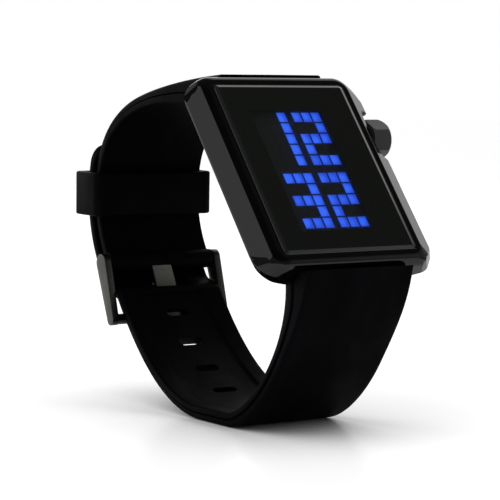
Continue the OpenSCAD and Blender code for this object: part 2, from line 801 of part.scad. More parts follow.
module lug_pin(y, side) {
    collar = tube_half + lug_travel + 0.1;
    color(steel) on_lug(y) mirror([side < 0 ? 1 : 0, 0, 0]) union() {
        along_x(pin_in, strap_w / 2 + 1.3, lug_pin_d);
        along_x(collar, collar + 0.3, lug_bar_d);
    }
}

module lug_spring(y) {
    wire = 0.2;
    color(steel) on_lug(y) coil(-pin_in + wire / 2 + 0.03, pin_in - wire / 2 - 0.03, lug_pin_d / 2 - wire / 2 - 0.02,
        wire, lug_spring_turns, 0, 0);
}

// Side view of the buckle's arms, from the eye round the pin to the front bar
module arm_side() {
    eye_end = 1.7;
    bar_end = bar_d / 2 + 0.1;
    lean = asin((eye_end - bar_end) / buckle_len);
    translate(pin_at) rotate(buckle_turn) union() {
        circle(r = eye_end);
        translate([buckle_len, 0]) circle(r = bar_end);
        polygon([for (p = [[0, eye_end, 90 - lean], [buckle_len, bar_end, 90 - lean], [buckle_len, bar_end, lean - 90],
            [0, eye_end, lean - 90]]) [p[0] + p[1] * cos(p[2]), p[1] * sin(p[2])]]);
    }
}

arm_in = strap_w / 2 + soft_gap;
arm_out = arm_in + arm_t;

module buckle_frame() {
    color(steel) difference() {
        union() {
            across(arm_in, arm_out) arm_side();
            across(-arm_out, -arm_in) arm_side();
            across(-arm_in, arm_in) translate(bar_at) circle(d = bar_d);
        }
        across(-arm_out - 1, arm_out + 1) translate(pin_at) circle(d = pin_d + 2 * stack_gap);
    }
}

module buckle_pin() {
    color(steel) across(-arm_out, arm_out) translate(pin_at) circle(d = pin_d);
}

module buckle_tongue() {
    color(steel) difference() {
        across(-tongue_w / 2, tongue_w / 2) union() {
            translate(pin_at) circle(r = tongue_eye);
            translate(pin_at) rotate(tongue_turn) translate([0, -tongue_t / 2]) square([tongue_len, tongue_t]);
        }
        across(-tongue_w, tongue_w) translate(pin_at) circle(d = pin_d + 2 * run_gap);
    }
}

module keeper() {
    half = strap_w / 2 + soft_gap;
    color(rubber) place() translate([0, back_c[0], back_c[1]]) rotate([keeper_turn, 0, 0]) difference() {
        translate([-half - keeper_side, keeper_in, -keeper_w / 2])
            cube([2 * (half + keeper_side), keeper_out - keeper_in, keeper_w]);
        translate([-half, keeper_room_in, -keeper_w])
            cube([2 * half, keeper_room_out - keeper_room_in, 2 * keeper_w]);
    }
}

case_body();
crystal();
crystal_gasket();
display_mask();
light_grid();
lit_cells();
unlit_cells();
led_chips();
display_board();
controller_chip();
quartz_can();
board_capacitors();
push_switch();
switch_plunger();
module_frame();
battery();
battery_clip();
battery_insulator();
case_back();
back_gasket();
back_screws();
crown_cap();
crown_stem();
crown_tube();
crown_spring();
crown_oring();
stem_clip();
strap_short();
strap_long();
lug_bar(1);  // lug_bar_12
lug_bar(-1);  // lug_bar_6
lug_pin(1, -1);  // lug_pin_12_left
lug_pin(1, 1);  // lug_pin_12_right
lug_pin(-1, -1);  // lug_pin_6_left
lug_pin(-1, 1);  // lug_pin_6_right
lug_spring(1);  // lug_spring_12
lug_spring(-1);  // lug_spring_6
buckle_frame();
buckle_pin();
buckle_tongue();
keeper();
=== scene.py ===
"""Digital watch on a rubber strap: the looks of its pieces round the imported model, and a plain studio."""

import math

import bmesh
import bpy
import numpy as np
from bpy.props import FloatProperty, FloatVectorProperty, PointerProperty
from mathutils import Matrix, Vector


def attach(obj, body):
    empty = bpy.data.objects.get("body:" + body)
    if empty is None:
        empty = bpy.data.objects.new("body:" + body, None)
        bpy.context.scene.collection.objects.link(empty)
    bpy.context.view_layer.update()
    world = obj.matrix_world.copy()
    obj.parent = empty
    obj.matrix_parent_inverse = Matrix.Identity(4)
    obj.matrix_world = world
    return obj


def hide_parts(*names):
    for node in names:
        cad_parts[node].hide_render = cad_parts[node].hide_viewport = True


bl_info = {
    "name": "LED watch",
    "version": (1, 0, 0),
    "blender": (4, 5, 0),
    "location": "View3D > Sidebar > LED watch",
    "description": "Dresses the packed model of a digital watch with detailed pieces and materials",
    "category": "Add Mesh",
}

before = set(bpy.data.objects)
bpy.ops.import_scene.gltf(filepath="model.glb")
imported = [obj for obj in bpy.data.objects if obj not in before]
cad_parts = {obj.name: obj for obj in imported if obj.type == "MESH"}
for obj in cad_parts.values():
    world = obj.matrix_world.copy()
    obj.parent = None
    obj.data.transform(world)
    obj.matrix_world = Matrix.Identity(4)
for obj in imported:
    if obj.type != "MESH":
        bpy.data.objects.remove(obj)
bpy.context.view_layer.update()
MM = 0.001

# Sizes are in millimetres. On the face, x runs to 3 o'clock, u to 12 o'clock and n out of the front, all from
# SEAT, the middle of the window. In the loop's plane a place is [y, z] from SEAT, and UP and OUT are u and n.
SEAT = np.array([-1.225, -24.6729, 44.9])
FACE_LIFT = math.radians(51)
UP = np.array([math.cos(FACE_LIFT), math.sin(FACE_LIFT)])
OUT = np.array([-math.sin(FACE_LIFT), math.cos(FACE_LIFT)])

# Case: thickness, end walls, ears with the spring bars under their roofs, and what the straps leave free
CASE_T = 9.8
END_WALL = 5.1
END_SLOPE = 0.72
LUG_AT = (16.3, -5.4)
LUG_BORE_R = 0.95
EYE_R = 2.1
ROOF = 3
CASE_GAP = 0.15
CLEAR_HALF = 18.5

# The shell's sections as [out from the middle, n], down to the flat of its back
BACK_N = -9.79
SIDE_9 = ((14.35, 0), (15.5, -0.42), (17.89, -2.6), (17.89, -3), (12.6, BACK_N))
SIDE_3 = ((14.35, 0), (18.35, -2.6), (18.35, -3), (12.6, BACK_N))
END_ROUND = 1.8
END_HALF = 20
END_12_EXTRA = 0.3

# Corner radii as [radius, n]: the usual ones, and the tighter ones at the crown side's 6 o'clock end
CORNERS = ((2.2, 0), (2.8, -0.42), (4.6, -2.6), (4.6, -10))
CORNERS_TIGHT = ((2.2, 0), (2.3, -0.42), (2.4, -2.6), (2.4, -10))

# Where the solid case's copy starts to stretch out to the shell, and by what share of the way past there
STRETCH_3 = (15.2, 0.17)
STRETCH_6 = (17.75, 0.375)
STRETCH_12 = (17.75, 0.575)

# Crystal: half sizes of its foot, rim and flat top, how far the top stands above the ring, and its depths
CRYSTAL_FOOT = (12.3, 16.7)
CRYSTAL_RIM = (13.24, 17.64)
CRYSTAL_TOP = (12.6, 17)
CRYSTAL_RISE = 0.25
RIM_DEPTH = 0.47
FOOT_DEPTH = 1.54
# How far under the flat top a point still counts as on it, and where the ground rim starts
TOP_SKIN = 0.02
RIM_FROM = -0.1
# Half sizes of the clear opening in the print under the crystal
CLEAR_UNDER = (9, 14.5)
# The clear opening on top is the lights' own rectangle, moved towards 9 and 6 o'clock, with a margin round it
CLEAR_SHIFT = (0.77, 0.67)
CLEAR_MARGIN = 0.3
CLEAR_MARGIN_9 = 1

# Strap: width, thickness and roots, and the arc round the back and the flat foot that its route takes
HALF_W = 11
STRAP_T = 2.5
ROOT_T = 6.8
ROOT_L = (26, 16)
ROOT_SHIFT_12 = (0.2, -0.8)
ROOT_SHIFT_6 = (1.6, 0.3)
ROOT_ANGLE_12 = 14
ROOT_ANGLE_6 = 80
BACK_R = 19
BACK_AT = np.array([36.8, -7])
BEND = (20, -32)
FOOT_Y = 16
FOOT_DROP = 42.4
FOOT_FLAT = 9
TAIL_ANGLE = 24
LIFT = STRAP_T + 0.35
RUN_STEP = 0.6
PANEL_HALF = 7.6
PANEL_DEPTH = 0.4
PANEL_ROUND = 2.5
TIP_ROUND = 2.5
TIP_FACE_ROUND = 0.8
HOLE = (5, 1.7)
HOLE_PITCH = 7
HOLES = 7
# Where the long strap drops to the short one's line, past the pin, and where its panel ends
DROP_PAST_PIN = (2.2, 7)
PANEL_BEFORE_CASE = 4
# A hole's rounded mouth as [depth under the strap's face, how much wider]
HOLE_MOUTH = ((0.3, 0), (0.1, 0.1), (-0.02, 0.28))

# Buckle, tongue and keeper
PIN_PAST_BEND = 2.2
PIN_R = 0.65
PIN_GAP = 0.05
HINGE_R = 1.8
HINGE_BULGE = 1.15
TONGUE_EYE = 1.1
BUCKLE_REACH = 10.2
BAR_R = 1
TONGUE_T = 0.9
TONGUE_W = 4.2
TONGUE_GAP = 0.15
TONGUE_PAST_BAR = 1.4
SWING = 6
POCKET_SWING = 60
SOFT_GAP = 0.35
KEEPER_SIDE = 1.4
KEEPER_WALL = 1.8
KEEPER_EDGE = 0.4
KEEPER_TURN = 1.5

# Lights: columns, rows, spacing, the gap between two digits, the wall between two lights and room round one
COLUMNS = 6
ROWS = 10
PITCH = (2, 0.0598 * 38.8)
DIGIT_GAP = (1.06, 1.4)
LIGHT_WALL = 0.28
LIGHT_ROOM = 0.01
ONE = ("001", "001", "001", "001", "001")
TWO = ("111", "001", "111", "100", "111")
THREE = ("111", "001", "111", "001", "111")
SHOWN = ((ONE, TWO), (THREE, TWO))
# Half the grid's size, the levels of the mask and the diffusers, and the glow of the lit squares on the mask
FIELD_HALF = (COLUMNS / 2 * PITCH[0] + DIGIT_GAP[0] / 2, ROWS / 2 * PITCH[1] + DIGIT_GAP[1] / 2)
MASK_N = -1.57
MASK_GAP = 0.02
DIFFUSER_TOP = -1.79
DIFFUSER_T = 0.5
GLOW_REACH = 0.3
GLOW_MESH = 0.7
GLOW_PASSES = 6

# Studio: half the floor's side and the watch's middle in metres, ways to its back and to the panel of light
# that the crystal's rim shows, and how strong the plain light, the floor's own glow and its mirror are
FLOOR_HALF = 6
WATCH_MIDDLE = (0, 0, 0.035)
BACK_WAY = (0.54, 0.84)
PANEL_WAY = (0.66, 0.43, 0.615)
PLAIN_LIGHT = 0.65
FLOOR_GLOW = 0.36
FLOOR_MIRROR = 0.12

# Camera: lens, sensor and place from SEAT in millimetres, turn and dip in degrees
LENS = 143.8
SENSOR = 36
CAMERA_FROM_SEAT = (-190.6, -277.4, 10.2)
CAMERA_TURN = 32.645
CAMERA_DIP = 4.134


class Wire:
    """A socket's value that takes part in sums, which add Math nodes."""

    def __init__(self, tree, socket):
        self.tree = tree
        self.socket = socket

    def maths(self, operation, *values):
        return self.tree.maths(operation, self, *values)

    def __add__(self, other):
        return self.maths("ADD", other)

    __radd__ = __add__

    def __sub__(self, other):
        return self.maths("SUBTRACT", other)

    def __rsub__(self, other):
        return self.tree.maths("SUBTRACT", other, self)

    def __mul__(self, other):
        return self.maths("MULTIPLY", other)

    __rmul__ = __mul__

    def __truediv__(self, other):
        return self.maths("DIVIDE", other)

    def __rtruediv__(self, other):
        return self.tree.maths("DIVIDE", other, self)

    def __abs__(self):
        return self.maths("ABSOLUTE")

    def __gt__(self, other):
        return self.maths("GREATER_THAN", other)

    def __lt__(self, other):
        return self.maths("LESS_THAN", other)


class Tree:
    """Adds nodes to a node tree."""

    def __init__(self, nodes):
        self.nodes = nodes
        self.nodes.nodes.clear()

    def add(self, kind, settings=None, sockets=None, out=0):
        """A new node's output. A socket takes a value, a wire, or a list of wires where it joins several."""
        node = self.nodes.nodes.new(kind)
        for key, value in (settings or {}).items():
            setattr(node, key, value)
        for key, value in (sockets or {}).items():
            wires = value if isinstance(value, list) else [value]
            if isinstance(wires[0], Wire):
                for wire in wires:
                    self.nodes.links.new(wire.socket, node.inputs[key])
            else:
                node.inputs[key].default_value = value
        return Wire(self, node.outputs[out]) if node.outputs else None

    def maths(self, operation, *values):
        return self.add("ShaderNodeMath", {"operation": operation}, dict(enumerate(values)))

    def span(self, value, low, high, first=0.0, last=1.0):
        """Goes smoothly from first to last while the value goes from low to high."""
        sockets = {0: value, 1: low, 2: high, 3: first, 4: last}
        return self.add("ShaderNodeMapRange", {"interpolation_type": "SMOOTHSTEP"}, sockets)

    def ray(self, kind):
        return self.add("ShaderNodeLightPath", out=f"Is {kind} Ray")


class Finish(Tree):
    """One material, with helpers for the patterns that several finishes share."""

    def __init__(self, name, colour):
        self.material = bpy.data.materials.new(name)
        self.material.use_nodes = True
        super().__init__(self.material.node_tree)
        self.material.diffuse_color = (*colour, 1)
        self.place = self.add("ShaderNodeTexCoord", out="Object")

    def noise(self, scale, detail=2.0, rough=0.5, stretch=None):
        """Noise over the object, drawn out where stretch is under 1."""
        place = self.place
        if stretch:
            place = self.add("ShaderNodeMapping", {}, {"Vector": place, "Scale": stretch})
        sockets = {"Vector": place, "Scale": scale, "Detail": detail, "Roughness": rough}
        return self.add("ShaderNodeTexNoise", {}, sockets)

    def blend(self, share, a, b):
        settings = {"data_type": "RGBA", "clamp_factor": True}
        return self.add("ShaderNodeMix", settings, {0: share, 6: a, 7: b}, out=2)

    def bump(self, height, distance, strength):
        """Relief of the height's pattern, with its distance in millimetres."""
        sockets = {"Height": height, "Distance": distance * MM, "Strength": strength}
        return self.add("ShaderNodeBump", {}, sockets)

    def on_face(self):
        """Places on the face, in millimetres: x, u and n."""
        seat = tuple(SEAT * MM)
        place = self.add("ShaderNodeVectorMath", {"operation": "SUBTRACT"}, {0: self.place, 1: seat})
        axes = ((1, 0, 0), (0, *UP), (0, *OUT))
        return [self.add("ShaderNodeVectorMath", {"operation": "DOT_PRODUCT"},
                         {0: place, 1: tuple(a / MM for a in axis)}, out=1) for axis in axes]

    def principled(self, sockets):
        return self.add("ShaderNodeBsdfPrincipled", {}, sockets)

    def mixed(self, share, first, second):
        return self.add("ShaderNodeMixShader", {}, {0: share, 1: first, 2: second})

    def ended(self, surface):
        """The material, once its surface is its output."""
        self.add("ShaderNodeOutputMaterial", {}, {"Surface": surface})
        return self.material

    def done(self, sockets):
        return self.ended(self.principled(sockets))


class Shape(Tree):
    """A geometry tree with named inputs, which ends in a plain painted mesh."""

    def __init__(self, name, lengths):
        super().__init__(bpy.data.node_groups.new(name, "GeometryNodeTree"))
        face = self.nodes.interface
        kinds = {"Geometry": "Geometry", **{length: "Float" for length in lengths}, "Material": "Material"}
        for socket, kind in kinds.items():
            face.new_socket(socket, in_out="INPUT", socket_type=f"NodeSocket{kind}")
        face.new_socket("Geometry", in_out="OUTPUT", socket_type="NodeSocketGeometry")
        outputs = self.add("NodeGroupInput").socket.node.outputs
        self.given = {socket.name: Wire(self, socket) for socket in outputs}

    def rectangle(self, width, height, corner, count):
        """A closed line with rounded corners, from the names of its sizes."""
        sides = {"Width": self.given[width], "Height": self.given[height]}
        outline = self.add("GeometryNodeCurvePrimitiveQuadrilateral", {"mode": "RECTANGLE"}, sides)
        corners = {"Curve": outline, "Count": count, "Radius": self.given[corner]}
        return self.add("GeometryNodeFilletCurve", {"mode": "POLY"}, corners)

    def ended(self, geometry):
        real = self.add("GeometryNodeRealizeInstances", {}, {"Geometry": geometry})
        sockets = {"Geometry": real, "Material": self.given["Material"]}
        painted = self.add("GeometryNodeSetMaterial", {}, sockets)
        self.add("NodeGroupOutput", {}, {0: painted})
        return self

    def make(self, thing, values):
        """Runs the tree on an object and leaves it a plain mesh."""
        modifier = thing.modifiers.new("shape", "NODES")
        modifier.node_group = self.nodes
        for socket in self.nodes.interface.items_tree:
            if socket.in_out == "INPUT" and socket.name in values:
                modifier[socket.identifier] = values[socket.name]
        return applied(thing)


def colour4(colour, scale=1.0):
    return (*(c * scale for c in colour), 1)


def gloss_black(name, colour, rough):
    """Polished black lacquer with faint orange peel and hairlines."""
    look = Finish(name, colour)
    peel = look.noise(260, 1)
    cloud = look.noise(90, 3)
    hairlines = look.noise(900, 2, stretch=(1, 0.08, 0.08))
    return look.done({
        "Base Color": look.blend(look.span(cloud, 0.35, 0.7), colour4(colour), colour4(colour, 1.3)),
        "Roughness": look.span(cloud, 0.3, 0.75, rough, rough * 1.9),
        "IOR": 1.5,
        "Normal": look.bump(peel * 0.7 + hairlines * 0.3, 0.012, 0.6),
    })


def moulded_rubber(name, colour, painted_sheen_colour, rough=0.5):
    """Matte black rubber with fine grain, smudges of handling that change its roughness, and a painted sheen:
    lighter bluish patches in its base colour over the same smudges.
    """
    look = Finish(name, colour)
    grain = look.noise(5200, 2, 0.6)
    skin = look.noise(1500, 2)
    smudge_and_sheen = look.noise(95, 4, 0.62, stretch=(1, 0.55, 0.55))
    return look.done({
        # Painted sheen: the base colour turns lighter and bluer in the smudges' patches, standing in for
        # their glossy reflection.
        "Base Color": look.blend(look.span(smudge_and_sheen, 0.42, 0.66), colour4(colour), colour4(painted_sheen_colour)),
        "Roughness": look.span(smudge_and_sheen, 0.3, 0.72, rough + 0.16, rough - 0.06),
        "Specular IOR Level": 0.035,
        "Normal": look.bump(grain * 0.75 + skin * 0.25, 0.03, 0.5),
    })


def satin_metal(name, colour, rough, stretch=(1, 1, 0.04)):
    """Brushed or satin metal with fine lines."""
    look = Finish(name, colour)
    lines = look.noise(2600, 2, 0.6, stretch=stretch)
    cloud = look.noise(160, 3)
    return look.done({
        "Base Color": look.blend(look.span(cloud, 0.3, 0.7), colour4(colour), colour4(colour, 0.82)),
        "Metallic": 1.0,
        "Roughness": look.span(lines * 0.6 + cloud * 0.4, 0.3, 0.7, rough * 0.8, rough * 1.25),
        "Normal": look.bump(lines, 0.012, 0.5),
    })


def plain_plastic(name, colour, rough, specular=0.5):
    """Moulded or coated small piece with slight mottling."""
    look = Finish(name, colour)
    cloud = look.noise(700, 3)
    return look.done({
        "Base Color": look.blend(cloud, colour4(colour, 0.85), colour4(colour, 1.15)),
        "Roughness": look.span(cloud, 0.3, 0.7, rough, rough + 0.12),
        "Specular IOR Level": specular,
        "Normal": look.bump(look.noise(2500), 0.01, 0.5),
    })


def face_matrix():
    """Turns millimetres on the face into metres in the model's frame."""
    turn = Matrix(((1, 0, 0), (0, UP[0], OUT[0]), (0, UP[1], OUT[1]))).to_4x4()
    return Matrix.Scale(MM, 4) @ Matrix.Translation(SEAT) @ turn


def new_object(name, mesh):
    thing = bpy.data.objects.new(name, mesh)
    bpy.context.scene.collection.objects.link(thing)
    return thing


def from_points(name, points, faces, matrix=None):
    mesh = bpy.data.meshes.new(name)
    mesh.from_pydata([tuple(p) for p in points], [], faces)
    if matrix is not None:
        mesh.transform(matrix)
    mesh.update()
    return new_object(name, mesh)


def body_through(name, rings, matrix=None):
    """A closed body through rings of points, with a flat cap on the first and the last."""
    count = len(rings[0])
    last = (len(rings) - 1) * count
    faces = []
    for low in range(0, last, count):
        for i in range(count):
            j = (i + 1) % count
            faces.append([low + i, low + j, low + count + j, low + count + i])
    faces += [list(range(count))[::-1], list(range(last, last + count))]
    return from_points(name, [point for ring in rings for point in ring], faces, matrix)


def applied(thing):
    """Makes the object's modifiers part of its mesh."""
    graph = bpy.context.evaluated_depsgraph_get()
    made = bpy.data.meshes.new_from_object(thing.evaluated_get(graph))
    thing.modifiers.clear()
    old = thing.data
    thing.data = made
    bpy.data.meshes.remove(old)
    return thing


def edit(thing, work):
    """Runs work on the object's mesh as a bmesh."""
    bm = bmesh.new()
    bm.from_mesh(thing.data)
    work(bm)
    bm.to_mesh(thing.data)
    bm.free()
    thing.data.update()
    return thing


def smooth(thing, angle=32):
    thing.data.shade_smooth()
    thing.data.set_sharp_from_angle(angle=math.radians(angle))
    return thing


def outwards(thing):
    return edit(thing, lambda bm: bmesh.ops.recalc_face_normals(bm, faces=bm.faces[:]))


def join_cut(thing, tool, operation):
    """Adds, cuts or intersects a closed mesh with another, which is then deleted."""
    modifier = thing.modifiers.new("shape", "BOOLEAN")
    modifier.operation = operation
    modifier.solver = "MANIFOLD"
    modifier.object = tool
    applied(thing)
    bpy.data.objects.remove(tool)
    return thing


def cad_copy(name, node):
    """A copy of a CAD node's mesh with its loose triangles joined."""
    thing = new_object(name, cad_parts[node].data.copy())
    thing.data.materials.clear()
    same_point = 2e-7
    return edit(thing, lambda bm: bmesh.ops.remove_doubles(bm, verts=bm.verts[:], dist=same_point))


def flatten_faces(bm, angle=0.4):
    bmesh.ops.dissolve_limit(bm, angle_limit=math.radians(angle), verts=bm.verts[:], edges=bm.edges[:])


def round_edges(thing, width, least, pick=None):
    """Rounds the edges that turn by more than least degrees, and whose middle pick accepts."""

    def work(bm):
        edges = []
        for e in bm.edges:
            if len(e.link_faces) == 2 and e.calc_face_angle(0) > math.radians(least):
                middle = (e.verts[0].co + e.verts[1].co) / 2
                if pick is None or pick(middle):
                    edges.append(e)
        bmesh.ops.bevel(bm, geom=edges, offset=width, segments=3, profile=0.5, affect="EDGES",
                        clamp_overlap=True, loop_slide=True)

    return edit(thing, work)


def in_loop(x, place):
    """A point in millimetres: x across the watch, and a place in the loop's plane."""
    return SEAT + (x, *place)


def prism(name, outline, x_from, x_to):
    """A drawing in the loop's plane, made a slab across the watch."""
    return outwards(body_through(name, [[in_loop(x, at) * MM for at in outline] for x in (x_from, x_to)]))


def circle(at, r, count=48):
    angles = np.linspace(0, 2 * math.pi, count, endpoint=False)
    return [(at[0] + r * math.cos(a), at[1] + r * math.sin(a)) for a in angles]


def rounded_line(points, r, steps):
    """An open line with an arc of about radius r in place of each inner corner."""
    points = [np.array(p, float) for p in points]
    out = [tuple(points[0])]
    for before, at, after in zip(points, points[1:], points[2:]):
        one, two = before - at, after - at
        one_length, two_length = np.linalg.norm(one), np.linalg.norm(two)
        turn = math.pi - math.acos(max(-1, min(1, one @ two / one_length / two_length)))
        cut = min(r * math.tan(turn / 2), 0.45 * one_length, 0.45 * two_length)
        start, end = at + one / one_length * cut, at + two / two_length * cut
        for k in np.linspace(0, 1, steps):
            out.append(tuple((1 - k) ** 2 * start + 2 * k * (1 - k) * at + k * k * end))
    return out + [tuple(points[-1])]


def at_depth(line, n):
    """How far out a falling line of [out, n] is at some n."""
    pairs = sorted((level, out) for out, level in line)
    return float(np.interp(n, [p[0] for p in pairs], [p[1] for p in pairs]))


def hull_of(name, points, matrix):
    """The convex body round some points, in millimetres, with its normals outwards."""
    bm = bmesh.new()
    for point in points:
        bm.verts.new(point)
    hull = bmesh.ops.convex_hull(bm, input=bm.verts[:])
    bmesh.ops.delete(bm, geom=list(set(hull["geom_interior"])), context="VERTS")
    bmesh.ops.delete(bm, geom=[v for v in bm.verts if not v.link_faces], context="VERTS")
    bmesh.ops.remove_doubles(bm, verts=bm.verts[:], dist=0.002)
    flatten_faces(bm, 0.15)
    bmesh.ops.recalc_face_normals(bm, faces=bm.faces[:])
    mesh = bpy.data.meshes.new(name)
    bm.to_mesh(mesh)
    bm.free()
    mesh.transform(matrix)
    return new_object(name, mesh)


def grown(half, by):
    return (half[0] + by, half[1] + by)


def plate(name, levels):
    """A closed body on the face through rounded rectangles, each given as half sizes, corner radius and n."""
    angles = np.radians(np.arange(0, 91, 11.25))
    rings = []
    for (half_x, half_u), r, n in levels:
        rings.append([(x * (half_x - r) + r * math.cos(a), u * (half_u - r) + r * math.sin(a), n)
                      for x, u, start in ((1, 1, 0), (-1, 1, 90), (-1, -1, 180), (1, -1, 270))
                      for a in angles + math.radians(start)])
    return outwards(body_through(name, rings, face_matrix()))


def weigh_normals(thing):
    """Lets broad faces keep flat shading where rounded edges run into them."""
    modifier = thing.modifiers.new("normals", "WEIGHTED_NORMAL")
    modifier.keep_sharp = True
    modifier.weight = 80
    return applied(thing)


def dress(thing, body, material, node):
    """Gives a new piece its material and its body, and hides the CAD node that it stands for."""
    thing.data.materials.clear()
    thing.data.materials.append(material)
    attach(thing, body)
    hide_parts(node)


def paint(material, *nodes):
    """Gives CAD nodes a better material."""
    for node in nodes:
        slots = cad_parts[node].data.materials
        slots.clear()
        slots.append(material)


# The strap's route in the loop's plane. s is a length along it, and h and t are heights over its inside.


def direction(angle):
    a = math.radians(angle)
    return np.array([math.cos(a), math.sin(a)])


def bezier(points, count):
    t = np.linspace(0, 1, count, endpoint=False)[:, None]
    a, b, c, d = points
    return (1 - t) ** 3 * a + 3 * (1 - t) ** 2 * t * b + 3 * (1 - t) * t ** 2 * c + t ** 3 * d


def make_route():
    """Points along the strap's inside from the 12 o'clock end to the 6 o'clock end, and the run to each."""
    fine = 120
    pull_12, pull_6, pull_in, pull_out, pull_heel, pull_toe = 18, 12, 11, 18, 12, 7
    lug_u, lug_n = LUG_AT
    start = (lug_u + ROOT_SHIFT_12[0]) * UP + (lug_n + ROOT_SHIFT_12[1]) * OUT
    end = (-lug_u - ROOT_SHIFT_6[0]) * UP + (lug_n + ROOT_SHIFT_6[1]) * OUT
    bend_in = BACK_AT + BACK_R * direction(BEND[0])
    bend_out = BACK_AT + BACK_R * direction(BEND[1])
    heel = np.array([FOOT_Y + FOOT_FLAT / 2, -FOOT_DROP])
    toe = np.array([FOOT_Y - FOOT_FLAT / 2, -FOOT_DROP])
    from_12 = start + pull_12 * direction(ROOT_ANGLE_12)
    top = [start, from_12, bend_in + pull_in * direction(BEND[0] + 90), bend_in]
    rear = [bend_out, bend_out + pull_out * direction(BEND[1] - 90), heel + (pull_heel, 0), heel]
    front = [toe, toe - (pull_toe, 0), end - pull_6 * direction(ROOT_ANGLE_6), end]
    angles = np.linspace(BEND[0], BEND[1], fine, endpoint=False)
    bend = np.array([BACK_AT + BACK_R * direction(a) for a in angles])
    points = np.vstack([bezier(top, fine), bend, bezier(rear, fine), bezier(front, fine), [end]])
    steps = np.linalg.norm(np.diff(points, axis=0), axis=1)
    run = np.concatenate([[0], np.cumsum(steps)])
    return points, run, run[fine], run[2 * fine]


ROUTE, RUN, BEND_FROM, BEND_TO = make_route()
LENGTH = RUN[-1]
PIN_RUN = BEND_TO + PIN_PAST_BEND
BAR_RUN = PIN_RUN + BUCKLE_REACH
TIP_RUN = BEND_FROM + (BEND[0] - TAIL_ANGLE) / (BEND[0] - BEND[1]) * (BEND_TO - BEND_FROM)
DROP = (PIN_RUN + DROP_PAST_PIN[0], PIN_RUN + DROP_PAST_PIN[1])
PANEL_RUN = (DROP[1], LENGTH - PANEL_BEFORE_CASE)


def inside(s):
    return np.array([np.interp(s, RUN, ROUTE[:, 0]), np.interp(s, RUN, ROUTE[:, 1])])


def along(s):
    reach = 0.8
    d = inside(min(LENGTH, s + reach)) - inside(max(0, s - reach))
    return d / np.linalg.norm(d)


def across(s):
    """Out of the strap, square to its route."""
    d = along(s)
    return np.array([-d[1], d[0]])


def lifted(s, h):
    return inside(s) + h * across(s)


def ease(a, b, x):
    k = min(1, max(0, (x - a) / (b - a)))
    return k * k * (3 - 2 * k)


def run_in(r, left, share=1):
    """How far a rounded end of radius r has run in where this much of the length is left."""
    short = min(max(0, r - left), share * r)
    return r - math.sqrt(r ** 2 - short ** 2)


def root_t(left, root):
    """A strap's thickness where this much is left to its end at the case."""
    k = min(1, max(0, left / root))
    return STRAP_T + (ROOT_T - STRAP_T) * (1 - k) ** 2


def short_t(s):
    return root_t(s, ROOT_L[0])


def long_lift(s):
    return LIFT * (1 - ease(*DROP, s))


def long_t(s):
    step = 0.1
    slope = (long_lift(s + step) - long_lift(s - step)) / (2 * step)
    return root_t(LENGTH - s, ROOT_L[1]) * math.hypot(1, slope)


PIN_AT = lifted(PIN_RUN, HINGE_R - HINGE_BULGE)
BAR_AT = lifted(BAR_RUN, LIFT + BAR_R)
BUCKLE_TURN = math.atan2(*(BAR_AT - PIN_AT)[::-1])
BUCKLE_LEN = float(np.linalg.norm(BAR_AT - PIN_AT))
TONGUE_RISE = BAR_R + TONGUE_T / 2 + TONGUE_GAP
TONGUE_TURN = BUCKLE_TURN - math.atan2(TONGUE_RISE, BUCKLE_LEN)
TONGUE_LEN = math.hypot(BUCKLE_LEN, TONGUE_RISE) + TONGUE_PAST_BAR


def strap_section(half, t, recess, panel):
    """Half of a strap's cross-section as [x, h], from its inside's middle round to its outside's middle."""
    groove_h = min(2, 0.45 * t)
    edge = 0.4
    over = 0.7
    side = half - 0.3
    # The sunk panel, its wall and the border beside it
    points = [(panel * k, recess) for k in (0, 0.25, 0.5, 0.75, 0.93, 0.98)]
    points += [(panel + 0.03, recess * 0.5), (panel + 0.2, 0.03 * recess / PANEL_DEPTH), (panel + 0.5, 0)]
    points += [(panel + (half - edge - panel) * k, 0) for k in (0.35, 0.7, 0.95)]
    # The inner edge, then the groove that runs round the strap's side
    for a in np.radians((18, 40, 62, 84)):
        points.append((half - edge + edge * math.sin(a), edge - edge * math.cos(a)))
    points += [(half, groove_h - 0.3), (half - 0.02, groove_h - 0.16), (half - 0.12, groove_h - 0.08)]
    points += [(half - 0.5, groove_h - 0.04), (half - 0.56, groove_h + 0.06), (half - 0.46, groove_h + 0.16)]
    points += [(side + 0.02, groove_h + 0.22), (side, groove_h + 0.36)]
    # The outer edge, and the slightly crowned outer face
    for a in np.radians((4, 22, 40, 58, 76, 90)):
        points.append((side - over + over * math.cos(a), t - over + over * math.sin(a)))
    points += [((side - over) * k, t + 0.02 * (1 - k)) for k in (0.93, 0.75, 0.5, 0.25, 0)]
    return points


def strap_mesh(name, runs, lift, thickness, width, end_round, panel_span):
    """A strap along the route. end_round says how far both faces run in at its free end, at each length."""
    rings = []
    for s in runs:
        recess, panel = 0, PANEL_HALF
        if panel_span:
            deep = min(s - panel_span[0], panel_span[1] - s)
            recess = PANEL_DEPTH * ease(0, 0.35, deep)
            panel -= run_in(PANEL_ROUND, max(0, deep))
        sink = end_round(s)
        half = strap_section(width(s), thickness(s) - 2 * sink, recess, panel)
        ring = half + [(-x, h) for x, h in half[-2:0:-1]]
        base, normal = inside(s), across(s)
        rings.append([in_loop(x, base + (lift(s) + sink + h) * normal) * MM for x, h in ring])
    strap = body_through(name, rings)
    edit(strap, lambda bm: bmesh.ops.triangulate(bm, faces=[f for f in bm.faces if len(f.verts) > 4]))
    return outwards(strap)


def case_clear():
    """What a strap's end has to leave to the case."""
    half_u = END_HALF + CASE_GAP
    above, below = 10, -ROOF - CASE_GAP
    places = ((-half_u, above), (half_u, above), (half_u, below), (-half_u, below))
    return prism("case clearance", [u * UP + n * OUT for u, n in places], -CLEAR_HALF, CLEAR_HALF)


